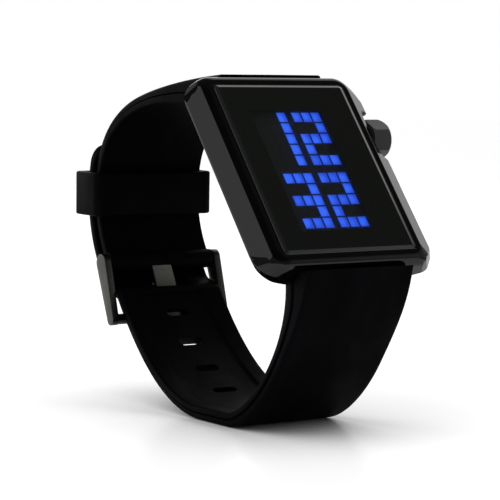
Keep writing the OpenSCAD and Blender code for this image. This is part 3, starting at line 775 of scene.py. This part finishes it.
def hole_cutter(s):
    """A slot square to the strap, with both its mouths slightly rounded."""
    past_inside, past_outside = 3, 1
    long_half, short_half = HOLE[0] / 2, HOLE[1] / 2
    reach = long_half - short_half
    half_t = long_t(s) / 2
    mid = long_lift(s) + half_t
    widest = HOLE_MOUTH[-1][1]
    levels = [(-half_t - past_inside, widest)]
    levels += [(-half_t + deep, grow) for deep, grow in HOLE_MOUTH[::-1]]
    levels += [(half_t - deep, grow) for deep, grow in HOLE_MOUTH]
    levels += [(half_t + past_outside, widest)]
    d = along(s)
    rings = []
    for level, grow in levels:
        at = lifted(s, mid + level)
        r = short_half + grow
        ring = []
        for a in np.linspace(0, 2 * math.pi, 32, endpoint=False):
            x = r * math.cos(a) + math.copysign(reach, math.cos(a))
            ring.append(in_loop(x, at + r * math.sin(a) * d) * MM)
        rings.append(ring)
    return outwards(body_through("hole", rings))


def tongue_room():
    """Room for the tongue on its way through the strap, at rest and rocked outwards."""
    tall = TONGUE_T / 2 + SOFT_GAP
    sweeps = []
    for turn in (0, math.radians(SWING)):
        a = TONGUE_TURN + turn
        way = np.array([math.cos(a), math.sin(a)])
        side = np.array([-way[1], way[0]])
        end = PIN_AT + TONGUE_LEN * way
        sweeps.append([PIN_AT - tall * side, end - tall * side, end + tall * side, PIN_AT + tall * side])
    low, high = sweeps
    return prism("tongue room", [*low[:2], *high[1:]], -HOLE[0] / 2, HOLE[0] / 2)


def tongue_pocket():
    """The pocket round the tongue's eye, open to the outside of the strap and towards the tip."""
    half = TONGUE_W / 2 + SOFT_GAP
    round_r = TONGUE_T / 2 + SOFT_GAP
    places = circle(PIN_AT, TONGUE_EYE + TONGUE_GAP, 40)
    for turn in (0, math.radians(POCKET_SWING)):
        a = TONGUE_TURN + turn
        way = PIN_AT + 2 * HINGE_R * np.array([math.cos(a), math.sin(a)])
        places += circle(way, round_r, 24)
    corners = [in_loop(x, place) for x in (-half, half) for place in places]
    return hull_of("pocket", corners, Matrix.Scale(MM, 4))


# Settings that a user would change


def colour_property(name, description, default):
    return FloatVectorProperty(name=name, description=description, default=default, subtype="COLOR", size=3,
                               min=0, max=1)


def length_property(name, description, default):
    return FloatProperty(name=name, description=description, default=default * MM, unit="LENGTH", precision=5,
                         min=0)


class WatchSizes(bpy.types.PropertyGroup):
    case_edge: length_property("Case edge", "Radius of the case's rounded edges", 0.4)
    crown_edge: length_property("Crown edge", "Radius of the crown's edges", 0.22)
    buckle_edge: length_property("Buckle edge", "Radius of the buckle's rounded edges", 0.22)
    keeper_corner: length_property("Keeper corner", "Radius of the keeper's corners", 1.1)
    keeper_width: length_property("Keeper width", "Width of the keeper along the strap", 8.2)
    light_corner: length_property("Light corner", "Radius of a light's corners", 0.12)


class WatchColours(bpy.types.PropertyGroup):
    case: colour_property("Case", "Colour of the lacquered case", (0.0012, 0.0012, 0.0013))
    crown: colour_property("Crown", "Colour of the crown", (0.02, 0.02, 0.0195))
    strap: colour_property("Strap", "Colour of the strap", (0.0006, 0.0006, 0.0008))
    # The strap's painted sheen: the lighter, bluer colour of the smudged patches stands in for their
    # reflection.
    strap_painted_sheen: colour_property("Strap sheen", "Colour of the strap's smudges", (0.0013, 0.0012, 0.0024))
    steel: colour_property("Steel", "Colour of the buckle", (0.105, 0.109, 0.096))
    light: colour_property("Light", "Colour of a lit square", (0.022, 0.092, 0.89))
    dark_light: colour_property("Unlit light", "Colour of an unlit square", (0.0070, 0.0074, 0.0080))


def sizes():
    return bpy.context.scene.watch_sizes


def colours():
    return bpy.context.scene.watch_colours


class WATCH_OT_case(bpy.types.Operator):
    """Case with rounded edges, crystal seal and back cover"""

    bl_idname = "watch.case"
    bl_label = "Case"
    bl_options = {"REGISTER", "UNDO"}

    def execute(self, context):
        shell = hull_of("case_shell", self.outline(), face_matrix())
        join_cut(shell, edit(cad_copy("case detail", "case_body"), self.stretch), "INTERSECT")
        # The crystal's seat, which widens into a small lip at the top
        mouth = [(0, 0.8, -0.5), (0, 0.8, -0.1), (0.12, 0.9, 0.03), (0.5, 1.2, 0.3)]
        join_cut(shell, plate("mouth", [(grown(CRYSTAL_RIM, by), r, n) for by, r, n in mouth]), "DIFFERENCE")
        weigh_normals(smooth(shell, 17))
        dress(shell, "watch", gloss_black("Black lacquer", colours().case, 0.045), "case_body")
        seal = plain_plastic("Black seal", (0.003, 0.003, 0.003), 0.5)
        paint(seal, "crystal_gasket", "back_gasket", "crown_oring")
        paint(satin_metal("Brushed cover", (0.42, 0.42, 0.41), 0.32, (0.04, 1, 1)), "case_back")
        paint(satin_metal("Turned steel", (0.5, 0.5, 0.49), 0.22), "back_screws", "crown_stem",
              "crown_tube", "crown_spring", "stem_clip", "quartz_can", "battery")
        return {"FINISHED"}

    def outline(self):
        """Points of the shell: at each level of its sections, a rectangle with rounded corners."""
        edge = sizes().case_edge / MM
        sides = [rounded_line([(0, 0), *side, (0, BACK_N)], edge, 5) for side in (SIDE_9, SIDE_3)]
        ends = [(END_HALF - END_ROUND + END_ROUND * math.sin(a), END_ROUND * (math.cos(a) - 1))
                for a in np.radians(np.arange(0, 91, 9))]
        ends += [(END_HALF, -END_WALL), (END_HALF - END_SLOPE * (CASE_T - END_WALL), -CASE_T)]
        points = []
        for n in sorted({round(n, 4) for line in (*sides, ends) for _, n in line if n >= BACK_N}):
            for way_x, side in zip((-1, 1), sides):
                for way_u, extra in ((-1, 0), (1, END_12_EXTRA)):
                    far_x, far_u = at_depth(side, n), at_depth(ends, n) + extra
                    r = at_depth(CORNERS_TIGHT if (way_x, way_u) == (1, -1) else CORNERS, n)
                    for a in np.radians(np.arange(0, 91, 7.5)):
                        x, u = far_x - r * (1 - math.cos(a)), far_u - r * (1 - math.sin(a))
                        points.append((way_x * x, way_u * u, n))
        return points

    def stretch(self, bm):
        """Widens the copied case to the shell's size."""
        ahead = face_matrix()
        back = ahead.inverted()
        for v in bm.verts:
            x, u, n = back @ v.co
            from_x, share_x = STRETCH_3
            from_u, share_u = STRETCH_12 if u > 0 else STRETCH_6
            if x > from_x:
                x += share_x * (x - from_x)
            if abs(u) > from_u:
                u += math.copysign(share_u * (abs(u) - from_u), u)
            v.co = ahead @ Vector((x, u, n))


class WATCH_OT_crown(bpy.types.Operator):
    """Six-sided crown"""

    bl_idname = "watch.crown"
    bl_label = "Crown"
    bl_options = {"REGISTER", "UNDO"}

    def execute(self, context):
        cap = edit(cad_copy("crown_head", "crown_cap"), flatten_faces)
        round_edges(cap, sizes().crown_edge, 18)
        weigh_normals(smooth(cap, 24))
        dress(cap, "crown", gloss_black("Black crown", colours().crown, 0.3), "crown_cap")
        return {"FINISHED"}


class WATCH_OT_display(bpy.types.Operator):
    """Crystal, printed mask and the grid of small square lights"""

    bl_idname = "watch.display"
    bl_label = "Display"
    bl_options = {"REGISTER", "UNDO"}

    def execute(self, context):
        shape = self.light_shape()
        lit, dark = [], []
        for c in range(COLUMNS):
            for r in range(ROWS):
                past_c, past_r = c - (COLUMNS - 1) / 2, (ROWS - 1) / 2 - r
                x = past_c * PITCH[0] + math.copysign(DIGIT_GAP[0] / 2, past_c)
                u = past_r * PITCH[1] + math.copysign(DIGIT_GAP[1] / 2, past_r)
                on = SHOWN[r // 5][c // 3][r % 5][c % 3] == "1"
                (lit if on else dark).append((x, u))
        glow = self.lit_material()
        # The unlit squares' print is painted 10 % lighter than the mask's, to hide the shade that the mask's
        # walls cast round them.
        unlit = self.print_material("Unlit diffuser", 1.1)
        dress(self.squares("lit_squares", shape, lit, glow), "watch", glow, "lit_cells")
        dress(self.squares("dark_squares", shape, dark, unlit), "watch", unlit, "unlit_cells")
        self.mask(lit)
        self.crystal()
        self.module()
        return {"FINISHED"}

    def light_shape(self):
        """Geometry nodes that set a square block with rounded corners on each point of a mesh."""
        shape = Shape("Square lights", ("Width", "Length", "Thickness", "Corner"))
        outline = shape.rectangle("Width", "Length", "Corner", 3)
        sheet = shape.add("GeometryNodeFillCurve", {"mode": "NGONS"}, {"Curve": outline})
        upper = shape.add("GeometryNodeExtrudeMesh", {"mode": "FACES"},
                          {"Mesh": sheet, "Offset Scale": shape.given["Thickness"], "Individual": False})
        under = shape.add("GeometryNodeFlipFaces", {}, {"Mesh": sheet})
        both = shape.add("GeometryNodeJoinGeometry", {}, {0: [under, upper]})
        block = shape.add("GeometryNodeMergeByDistance", {}, {"Geometry": both, "Distance": 0.001})
        sockets = {"Points": shape.given["Geometry"], "Instance": block}
        return shape.ended(shape.add("GeometryNodeInstanceOnPoints", {}, sockets))

    def squares(self, name, shape, places, material):
        bottom = DIFFUSER_TOP - DIFFUSER_T
        points = from_points(name, [(x, u, bottom) for x, u in places], [])
        width, length = (pitch - LIGHT_WALL - 2 * LIGHT_ROOM for pitch in PITCH)
        shape.make(points, {"Width": width, "Length": length, "Thickness": MASK_N - MASK_GAP - bottom,
                            "Corner": sizes().light_corner / MM, "Material": material})
        points.data.transform(face_matrix())
        return points

    def lit_material(self):
        """Blue light, a little brighter in the middle of each square and uneven from one to the next."""
        look = Finish("Blue light", colours().light)
        x, u, _ = look.on_face()
        column, row = [((at - gap / 2 * at.maths("SIGN")) / pitch).maths("FRACT") - 0.5
                       for at, gap, pitch in zip((x, u), DIGIT_GAP, PITCH)]
        far = (column * column + row * row).maths("SQRT")
        middle = look.span(far, 0.0, 0.62, 1.18, 0.78)
        uneven = look.span(look.noise(240, 1), 0.3, 0.7, 0.85, 1.2)
        to_one_side = look.span(column, -0.4, 0.4, 1.12, 0.8)
        level = middle * uneven * to_one_side
        bright = [c * s for c, s in zip(colours().light, (1.5, 1.4, 1.12))]
        light = look.blend(look.span(level, 0.6, 1.25), colour4(colours().light, 0.62), colour4(bright))
        return look.done({"Base Color": (0.004, 0.006, 0.02, 1), "Roughness": 0.35, "Emission Color": light,
                          "Emission Strength": 1.2})

    def print_material(self, name, level):
        """Slightly mottled black print, with the lit squares' glow where a mesh carries it."""
        look = Finish(name, colours().dark_light)
        tone = colours().dark_light
        cloud = look.span(look.noise(60, 2), 0.3, 0.7)
        glow = look.span(look.add("ShaderNodeAttribute", {"attribute_name": "glow"}, out="Fac"), 0.0, 1.3)
        return look.done({
            "Base Color": look.blend(cloud, colour4(tone, 2.4 * level), colour4(tone, 2.6 * level)),
            "Roughness": 0.6,
            "Specular IOR Level": 0.2,
            "Emission Color": look.blend(glow, (0, 0, 0, 1), (0.0012, 0.006, 0.06, 1)),
            "Emission Strength": 1.0,
        })

    def mask(self, lit):
        """The printed mask, with the soft glow of the lit squares as an attribute of its fine mesh."""
        mask = cad_copy("mask_print", "display_mask")

        def finer(bm):
            flatten_faces(bm, 1)
            bmesh.ops.triangulate(bm, faces=bm.faces[:])
            for _ in range(GLOW_PASSES):
                long = [e for e in bm.edges if e.calc_length() > GLOW_MESH * MM]
                bmesh.ops.subdivide_edges(bm, edges=long, cuts=1)
                bmesh.ops.triangulate(bm, faces=bm.faces[:])

        edit(mask, finer)
        back = face_matrix().inverted()
        places = np.array([back @ v.co for v in mask.data.vertices])[:, None, :2]
        half = np.array([pitch - LIGHT_WALL for pitch in PITCH]) / 2
        gap = np.maximum(np.abs(places - np.array(lit)[None]) - half, 0)
        far = np.sqrt((gap ** 2).sum(2))
        glow = np.minimum(np.exp(-(far / GLOW_REACH) ** 1.2).sum(1), 1.2)
        layer = mask.data.attributes.new("glow", "FLOAT", "POINT")
        layer.data.foreach_set("value", glow.astype(np.float32))
        dress(mask, "watch", self.print_material("Printed mask", 1.0), "display_mask")

    def crystal(self):
        """Crystal with a bevelled rim that fills the mouth of the case."""
        rim = grown(CRYSTAL_RIM, -0.03)
        levels = [(CRYSTAL_FOOT, 0.6, -FOOT_DEPTH), (CRYSTAL_FOOT, 0.6, -RIM_DEPTH), (rim, 0.78, -RIM_DEPTH),
                  (rim, 0.78, -0.04), (grown(rim, -0.03), 0.76, 0),
                  (grown(CRYSTAL_TOP, 0.04), 0.3, CRYSTAL_RISE - 0.025),
                  (grown(CRYSTAL_TOP, -0.02), 0.28, CRYSTAL_RISE)]
        dress(smooth(plate("crystal_glass", levels), 12), "watch", self.glass(), "crystal")

    def glass(self):
        """Faintly tinted glass, printed black but for a clear opening over the lights."""
        look = Finish("Tinted crystal", (0.02, 0.025, 0.02))
        smeared = look.span(look.noise(70, 3), 0.4, 0.8, 0.0, 0.02)
        x, u, n = look.on_face()
        deep = n < CRYSTAL_RISE - TOP_SKIN
        clear_under = (abs(x) < CLEAR_UNDER[0]) * (abs(u) < CLEAR_UNDER[1])
        seen_x, seen_u = x + CLEAR_SHIFT[0], u + CLEAR_SHIFT[1]
        in_x = (seen_x > -FIELD_HALF[0] - CLEAR_MARGIN_9) * (seen_x < FIELD_HALF[0] + CLEAR_MARGIN)
        clear_on_top = in_x * (abs(seen_u) < FIELD_HALF[1] + CLEAR_MARGIN)
        opening = deep * clear_under + (1 - deep) * clear_on_top
        shadow = look.ray("Shadow")
        glass = look.principled({"Base Color": (0.93, 0.97, 0.93, 1), "IOR": 1.45, "Transmission Weight": 1.0,
                                 "Roughness": smeared})
        clear = look.add("ShaderNodeBsdfTransparent", {}, {"Color": (0.9, 0.94, 0.9, 1)})
        ink = look.principled({"Base Color": (0.0062, 0.0072, 0.006, 1), "IOR": 1.45, "Roughness": smeared})
        ground_rim = look.principled({"Base Color": (0.014, 0.0145, 0.015, 1), "IOR": 1.8, "Roughness": 0.1})
        printed = look.mixed(deep * (n > RIM_FROM), ink, ground_rim)
        return look.ended(look.mixed((1 - opening) * (1 - shadow), look.mixed(shadow, glass, clear), printed))

    def module(self):
        """Paints what lies inside the case."""
        paint(plain_plastic("Dark grid", (0.0025, 0.0026, 0.003), 0.5, 0.2), "light_grid")
        paint(plain_plastic("Clear chip", (0.75, 0.72, 0.4), 0.2), "led_chips")
        paint(plain_plastic("Green board", (0.01, 0.11, 0.045), 0.35), "display_board")
        paint(plain_plastic("Black package", (0.02, 0.02, 0.02), 0.4), "controller_chip", "switch_plunger")
        paint(plain_plastic("Brown ceramic", (0.4, 0.3, 0.18), 0.4), "board_capacitors")
        paint(satin_metal("Pressed can", (0.6, 0.6, 0.58), 0.3), "push_switch")
        paint(satin_metal("Spring brass", (0.72, 0.5, 0.2), 0.28), "battery_clip")
        paint(plain_plastic("White carrier", (0.7, 0.7, 0.66), 0.5), "module_frame")
        paint(plain_plastic("Yellow film", (0.75, 0.62, 0.12), 0.3), "battery_insulator")


class WATCH_OT_straps(bpy.types.Operator):
    """Both straps, with their grooves, raised border, adjusting holes and ends"""

    bl_idname = "watch.straps"
    bl_label = "Straps"
    bl_options = {"REGISTER", "UNDO"}

    def execute(self, context):
        rubber = moulded_rubber("Black rubber", colours().strap, colours().strap_painted_sheen)
        long_strap = strap_mesh("long_strap", self.long_runs(), long_lift, long_t, self.tail_width,
                                lambda s: 0.9 * run_in(TIP_FACE_ROUND, s - TIP_RUN), PANEL_RUN)
        self.fit(long_strap, -1)
        for i in range(-2, HOLES - 2):
            join_cut(long_strap, hole_cutter(sum(DROP) / 2 + i * HOLE_PITCH), "DIFFERENCE")
        join_cut(long_strap, tongue_room(), "DIFFERENCE")
        dress(smooth(long_strap), "watch", rubber, "strap_long")

        short_runs = sorted({*np.arange(0, PIN_RUN, RUN_STEP), PIN_RUN})
        short_strap = strap_mesh("short_strap", short_runs, lambda s: 0, short_t, lambda s: HALF_W,
                                 lambda s: 0, None)
        self.fit(short_strap, 1)
        join_cut(short_strap, prism("loop", circle(PIN_AT, HINGE_R), -HALF_W, HALF_W), "UNION")
        self.bore(short_strap, PIN_AT, PIN_R + PIN_GAP)
        join_cut(short_strap, tongue_pocket(), "DIFFERENCE")
        dress(smooth(short_strap), "watch", rubber, "strap_short")
        return {"FINISHED"}

    def long_runs(self):
        """Where the long strap has a ring: at even steps, and closer at its tip and at the panel's ends."""
        steps = np.arange(TIP_RUN + 1.2, LENGTH, RUN_STEP)
        tip = [TIP_RUN + d for d in (0, 0.04, 0.12, 0.25, 0.42, 0.62, 0.85, 1.05)]
        panel = [end + d for end in PANEL_RUN for d in (-0.3, -0.15, 0, 0.15, 0.3, 0.8, 1.4)]
        return sorted({*steps, LENGTH, *tip, *panel})

    def tail_width(self, s):
        return HALF_W - run_in(TIP_ROUND, s - TIP_RUN, 0.98)

    def fit(self, strap, side):
        """Makes the eye round the lug bar and clears the case."""
        lug = side * LUG_AT[0] * UP + LUG_AT[1] * OUT
        join_cut(strap, prism("eye", circle(lug, EYE_R), -HALF_W + 0.01, HALF_W - 0.01), "UNION")
        join_cut(strap, case_clear(), "DIFFERENCE")
        self.bore(strap, lug, LUG_BORE_R)

    def bore(self, strap, at, r):
        join_cut(strap, prism("bore", circle(at, r, 32), -HALF_W - 1, HALF_W + 1), "DIFFERENCE")


class WATCH_OT_keeper(bpy.types.Operator):
    """Keeper loop round both straps"""

    bl_idname = "watch.keeper"
    bl_label = "Keeper"
    bl_options = {"REGISTER", "UNDO"}

    def execute(self, context):
        length = sizes().keeper_width / MM
        room_in = BACK_R * math.cos(math.atan(length / 2 / BACK_R)) - SOFT_GAP
        room_out = BACK_R + LIFT + STRAP_T + SOFT_GAP
        depth = room_out - room_in + KEEPER_WALL
        rubber = moulded_rubber("Keeper rubber", colours().strap, colours().strap_painted_sheen, 0.46)
        keeper = from_points("keeper_band", [(0, 0, 0)], [])
        self.band_shape().make(keeper, {
            "Width": 2 * (HALF_W + SOFT_GAP) + KEEPER_SIDE, "Depth": depth, "Wall": KEEPER_SIDE,
            "Length": length, "Corner": sizes().keeper_corner / MM, "Edge": KEEPER_EDGE, "Material": rubber})
        self.thicken(keeper.data, depth / 2)
        turn = Matrix.Rotation(math.radians(KEEPER_TURN), 4, "X")
        centre = Matrix.Translation(in_loop(0, BACK_AT))
        out_to_strap = Matrix.Translation((0, (room_in + room_out) / 2, 0))
        keeper.data.transform(Matrix.Scale(MM, 4) @ centre @ turn @ out_to_strap)
        outwards(keeper)
        dress(smooth(keeper, 40), "keeper", rubber, "keeper")
        return {"FINISHED"}

    def band_shape(self):
        """Geometry nodes that run a rounded section round a rounded rectangle."""
        shape = Shape("Keeper loop", ("Width", "Depth", "Wall", "Length", "Corner", "Edge"))
        path = shape.rectangle("Width", "Depth", "Corner", 8)
        section = shape.rectangle("Wall", "Length", "Edge", 4)
        sockets = {"Curve": path, "Profile Curve": section}
        return shape.ended(shape.add("GeometryNodeCurveToMesh", {}, sockets))

    def thicken(self, mesh, mid):
        """Moves the outer faces of the walls over and under the straps out. mid is such a wall's middle."""
        extra = (KEEPER_WALL - KEEPER_SIDE) / 2
        room_end = mid - 1
        co = np.array([v.co for v in mesh.vertices])
        reach = np.abs(co[:, 1])
        share = ((reach - mid) / KEEPER_SIDE + 0.5) * (reach > room_end)
        co[:, 1] += np.sign(co[:, 1]) * extra * share
        mesh.vertices.foreach_set("co", co.astype(np.float32).ravel())


class WATCH_OT_buckle(bpy.types.Operator):
    """Buckle frame, pin and tongue in satin steel"""

    bl_idname = "watch.buckle"
    bl_label = "Buckle"
    bl_options = {"REGISTER", "UNDO"}

    def execute(self, context):
        steel = satin_metal("Satin steel", colours().steel, 0.3, (0.05, 1, 1))
        for name, node, body in (("buckle_arms", "buckle_frame", "buckle"),
                                 ("buckle_prong", "buckle_tongue", "tongue")):
            piece = edit(cad_copy(name, node), flatten_faces)
            round_edges(piece, sizes().buckle_edge, 40, self.off_the_pin)
            dress(smooth(piece, 35), body, steel, node)
        paint(steel, "buckle_pin", "lug_bar_12", "lug_bar_6", "lug_pin_12_left", "lug_pin_12_right",
              "lug_pin_6_left", "lug_pin_6_right", "lug_spring_12", "lug_spring_6")
        return {"FINISHED"}

    def off_the_pin(self, point):
        """Leaves the bores round the pin sharp."""
        pin = in_loop(0, PIN_AT) * MM
        return math.hypot(point.y - pin[1], point.z - pin[2]) > 1.2 * MM


class WATCH_OT_stage(bpy.types.Operator):
    """White floor, soft studio light and the camera"""

    bl_idname = "watch.stage"
    bl_label = "Stage"
    bl_options = {"REGISTER", "UNDO"}

    def execute(self, context):
        self.floor()
        self.world()
        self.lamp("Left softbox", (-0.7, -0.12, 0.7), 0.7, (0.75, 0.62), 0.82)
        self.lamp("Back panel", (0.5, 0.8, 0.35), 1.0, (1.2, 0.6), 0.5)
        self.camera()
        return {"FINISHED"}

    def floor(self):
        """A white floor with a faint mirror and, on top of the lamps' own shadow, a painted contact shadow:
        ambient occlusion darkens its colour and its glow close to the watch.
        """
        corners = [(x * FLOOR_HALF, y * FLOOR_HALF, 0) for x, y in ((-1, -1), (1, -1), (1, 1), (-1, 1))]
        floor = from_points("floor", corners, [[0, 1, 2, 3]])
        look = Finish("White floor", (0.9, 0.9, 0.9))
        # Painted shadow: the nearer the watch, the darker the floor's colour and glow, by ambient occlusion.
        occlusion = look.add("ShaderNodeAmbientOcclusion", {"samples": 12}, {"Distance": 0.075}, out="AO")
        open_sky = look.span(occlusion, 0.15, 1.0)
        shade = look.blend(open_sky, colour4((0.43, 0.43, 0.43)), colour4((0.95, 0.95, 0.95)))
        matte = look.add("ShaderNodeBsdfDiffuse", {}, {"Color": shade})
        mirror = look.add("ShaderNodeBsdfGlossy", {}, {"Color": (1, 1, 1, 1), "Roughness": 0.22})
        glow = look.add("ShaderNodeEmission", {}, {"Color": look.blend(open_sky, (0, 0, 0, 1), (1, 1, 1, 1)),
                                                   "Strength": look.ray("Camera") * FLOOR_GLOW})
        surface = look.mixed(FLOOR_MIRROR, matte, mirror)
        floor.data.materials.append(look.ended(look.add("ShaderNodeAddShader", {}, {0: surface, 1: glow})))

    def world(self):
        """Plain light on the watch. Reflections see white round the horizon, darker above and in front."""
        world = bpy.data.worlds.new("Studio")
        bpy.context.scene.world = world
        world.use_nodes = True
        tree = Tree(world.node_tree)
        way = tree.add("ShaderNodeTexCoord", out="Generated")
        x, y, z = [tree.add("ShaderNodeSeparateXYZ", {}, {0: way}, out=axis) for axis in "XYZ"]
        above = tree.span(z, 0.3, 0.66, 0.95, 0.045)
        in_front = tree.span(x * BACK_WAY[0] + y * BACK_WAY[1], -0.5, 0.1, 0.14, 1.0)
        at_right = tree.span(x, 0.5, 0.88, 1.0, 0.2)
        panel = tree.span(x * PANEL_WAY[0] + y * PANEL_WAY[1] + z * PANEL_WAY[2], 0.9, 0.95, 0.0, 0.85)
        reflected = (above * in_front * at_right).maths("MAXIMUM", panel)
        camera, glossy, through = [tree.ray(kind) for kind in ("Camera", "Glossy", "Transmission")]
        plain = PLAIN_LIGHT * (1 - glossy) * (1 - through)
        level = camera + (1 - camera) * (plain + glossy.maths("MAXIMUM", through) * reflected)
        back = tree.add("ShaderNodeBackground", {}, {"Color": (1, 1, 1, 1), "Strength": level})
        tree.add("ShaderNodeOutputWorld", {}, {"Surface": back})

    def lamp(self, name, way, away, size, level):
        """A rectangular lamp that faces the watch, with the energy that its size and brightness need."""
        data = bpy.data.lights.new(name, "AREA")
        data.shape = "RECTANGLE"
        data.size, data.size_y = size
        data.energy = level * math.pi * size[0] * size[1]
        lamp = new_object(name, data)
        lamp.location = Vector(WATCH_MIDDLE) + Vector(way).normalized() * away
        lamp.rotation_mode = "QUATERNION"
        lamp.rotation_quaternion = Vector(way).to_track_quat("Z", "Y")

    def camera(self):
        data = bpy.data.cameras.new("camera")
        data.lens = LENS
        data.sensor_width = SENSOR
        data.clip_start = 0.01
        camera = new_object("camera", data)
        camera.location = Vector((SEAT + CAMERA_FROM_SEAT) * MM)
        turn, dip = math.radians(CAMERA_TURN), math.radians(CAMERA_DIP)
        look = Vector((math.sin(turn) * math.cos(dip), math.cos(turn) * math.cos(dip), -math.sin(dip)))
        camera.rotation_mode = "QUATERNION"
        camera.rotation_quaternion = look.to_track_quat("-Z", "Y")
        bpy.context.scene.camera = camera
        bpy.context.scene.view_settings.view_transform = "Standard"


STEPS = (WATCH_OT_stage, WATCH_OT_case, WATCH_OT_crown, WATCH_OT_display, WATCH_OT_straps, WATCH_OT_keeper,
         WATCH_OT_buckle)


class WATCH_PT_panel(bpy.types.Panel):
    """Lists the pieces and their settings"""

    bl_label = "LED watch"
    bl_idname = "WATCH_PT_panel"
    bl_space_type = "VIEW_3D"
    bl_region_type = "UI"
    bl_category = "LED watch"

    def draw(self, context):
        for group in (context.scene.watch_sizes, context.scene.watch_colours):
            box = self.layout.box()
            for name in group.bl_rna.properties.keys():
                if name not in ("rna_type", "name"):
                    box.prop(group, name)
        for step in STEPS:
            self.layout.operator(step.bl_idname)


CLASSES = (WatchSizes, WatchColours, *STEPS, WATCH_PT_panel)


def register():
    for each in CLASSES:
        bpy.utils.register_class(each)
    bpy.types.Scene.watch_sizes = PointerProperty(type=WatchSizes)
    bpy.types.Scene.watch_colours = PointerProperty(type=WatchColours)


def unregister():
    del bpy.types.Scene.watch_colours
    del bpy.types.Scene.watch_sizes
    for each in reversed(CLASSES):
        bpy.utils.unregister_class(each)


def main():
    register()
    for step in STEPS:
        group, name = step.bl_idname.split(".")
        getattr(getattr(bpy.ops, group), name)()


if __name__ == "__main__":
    main()
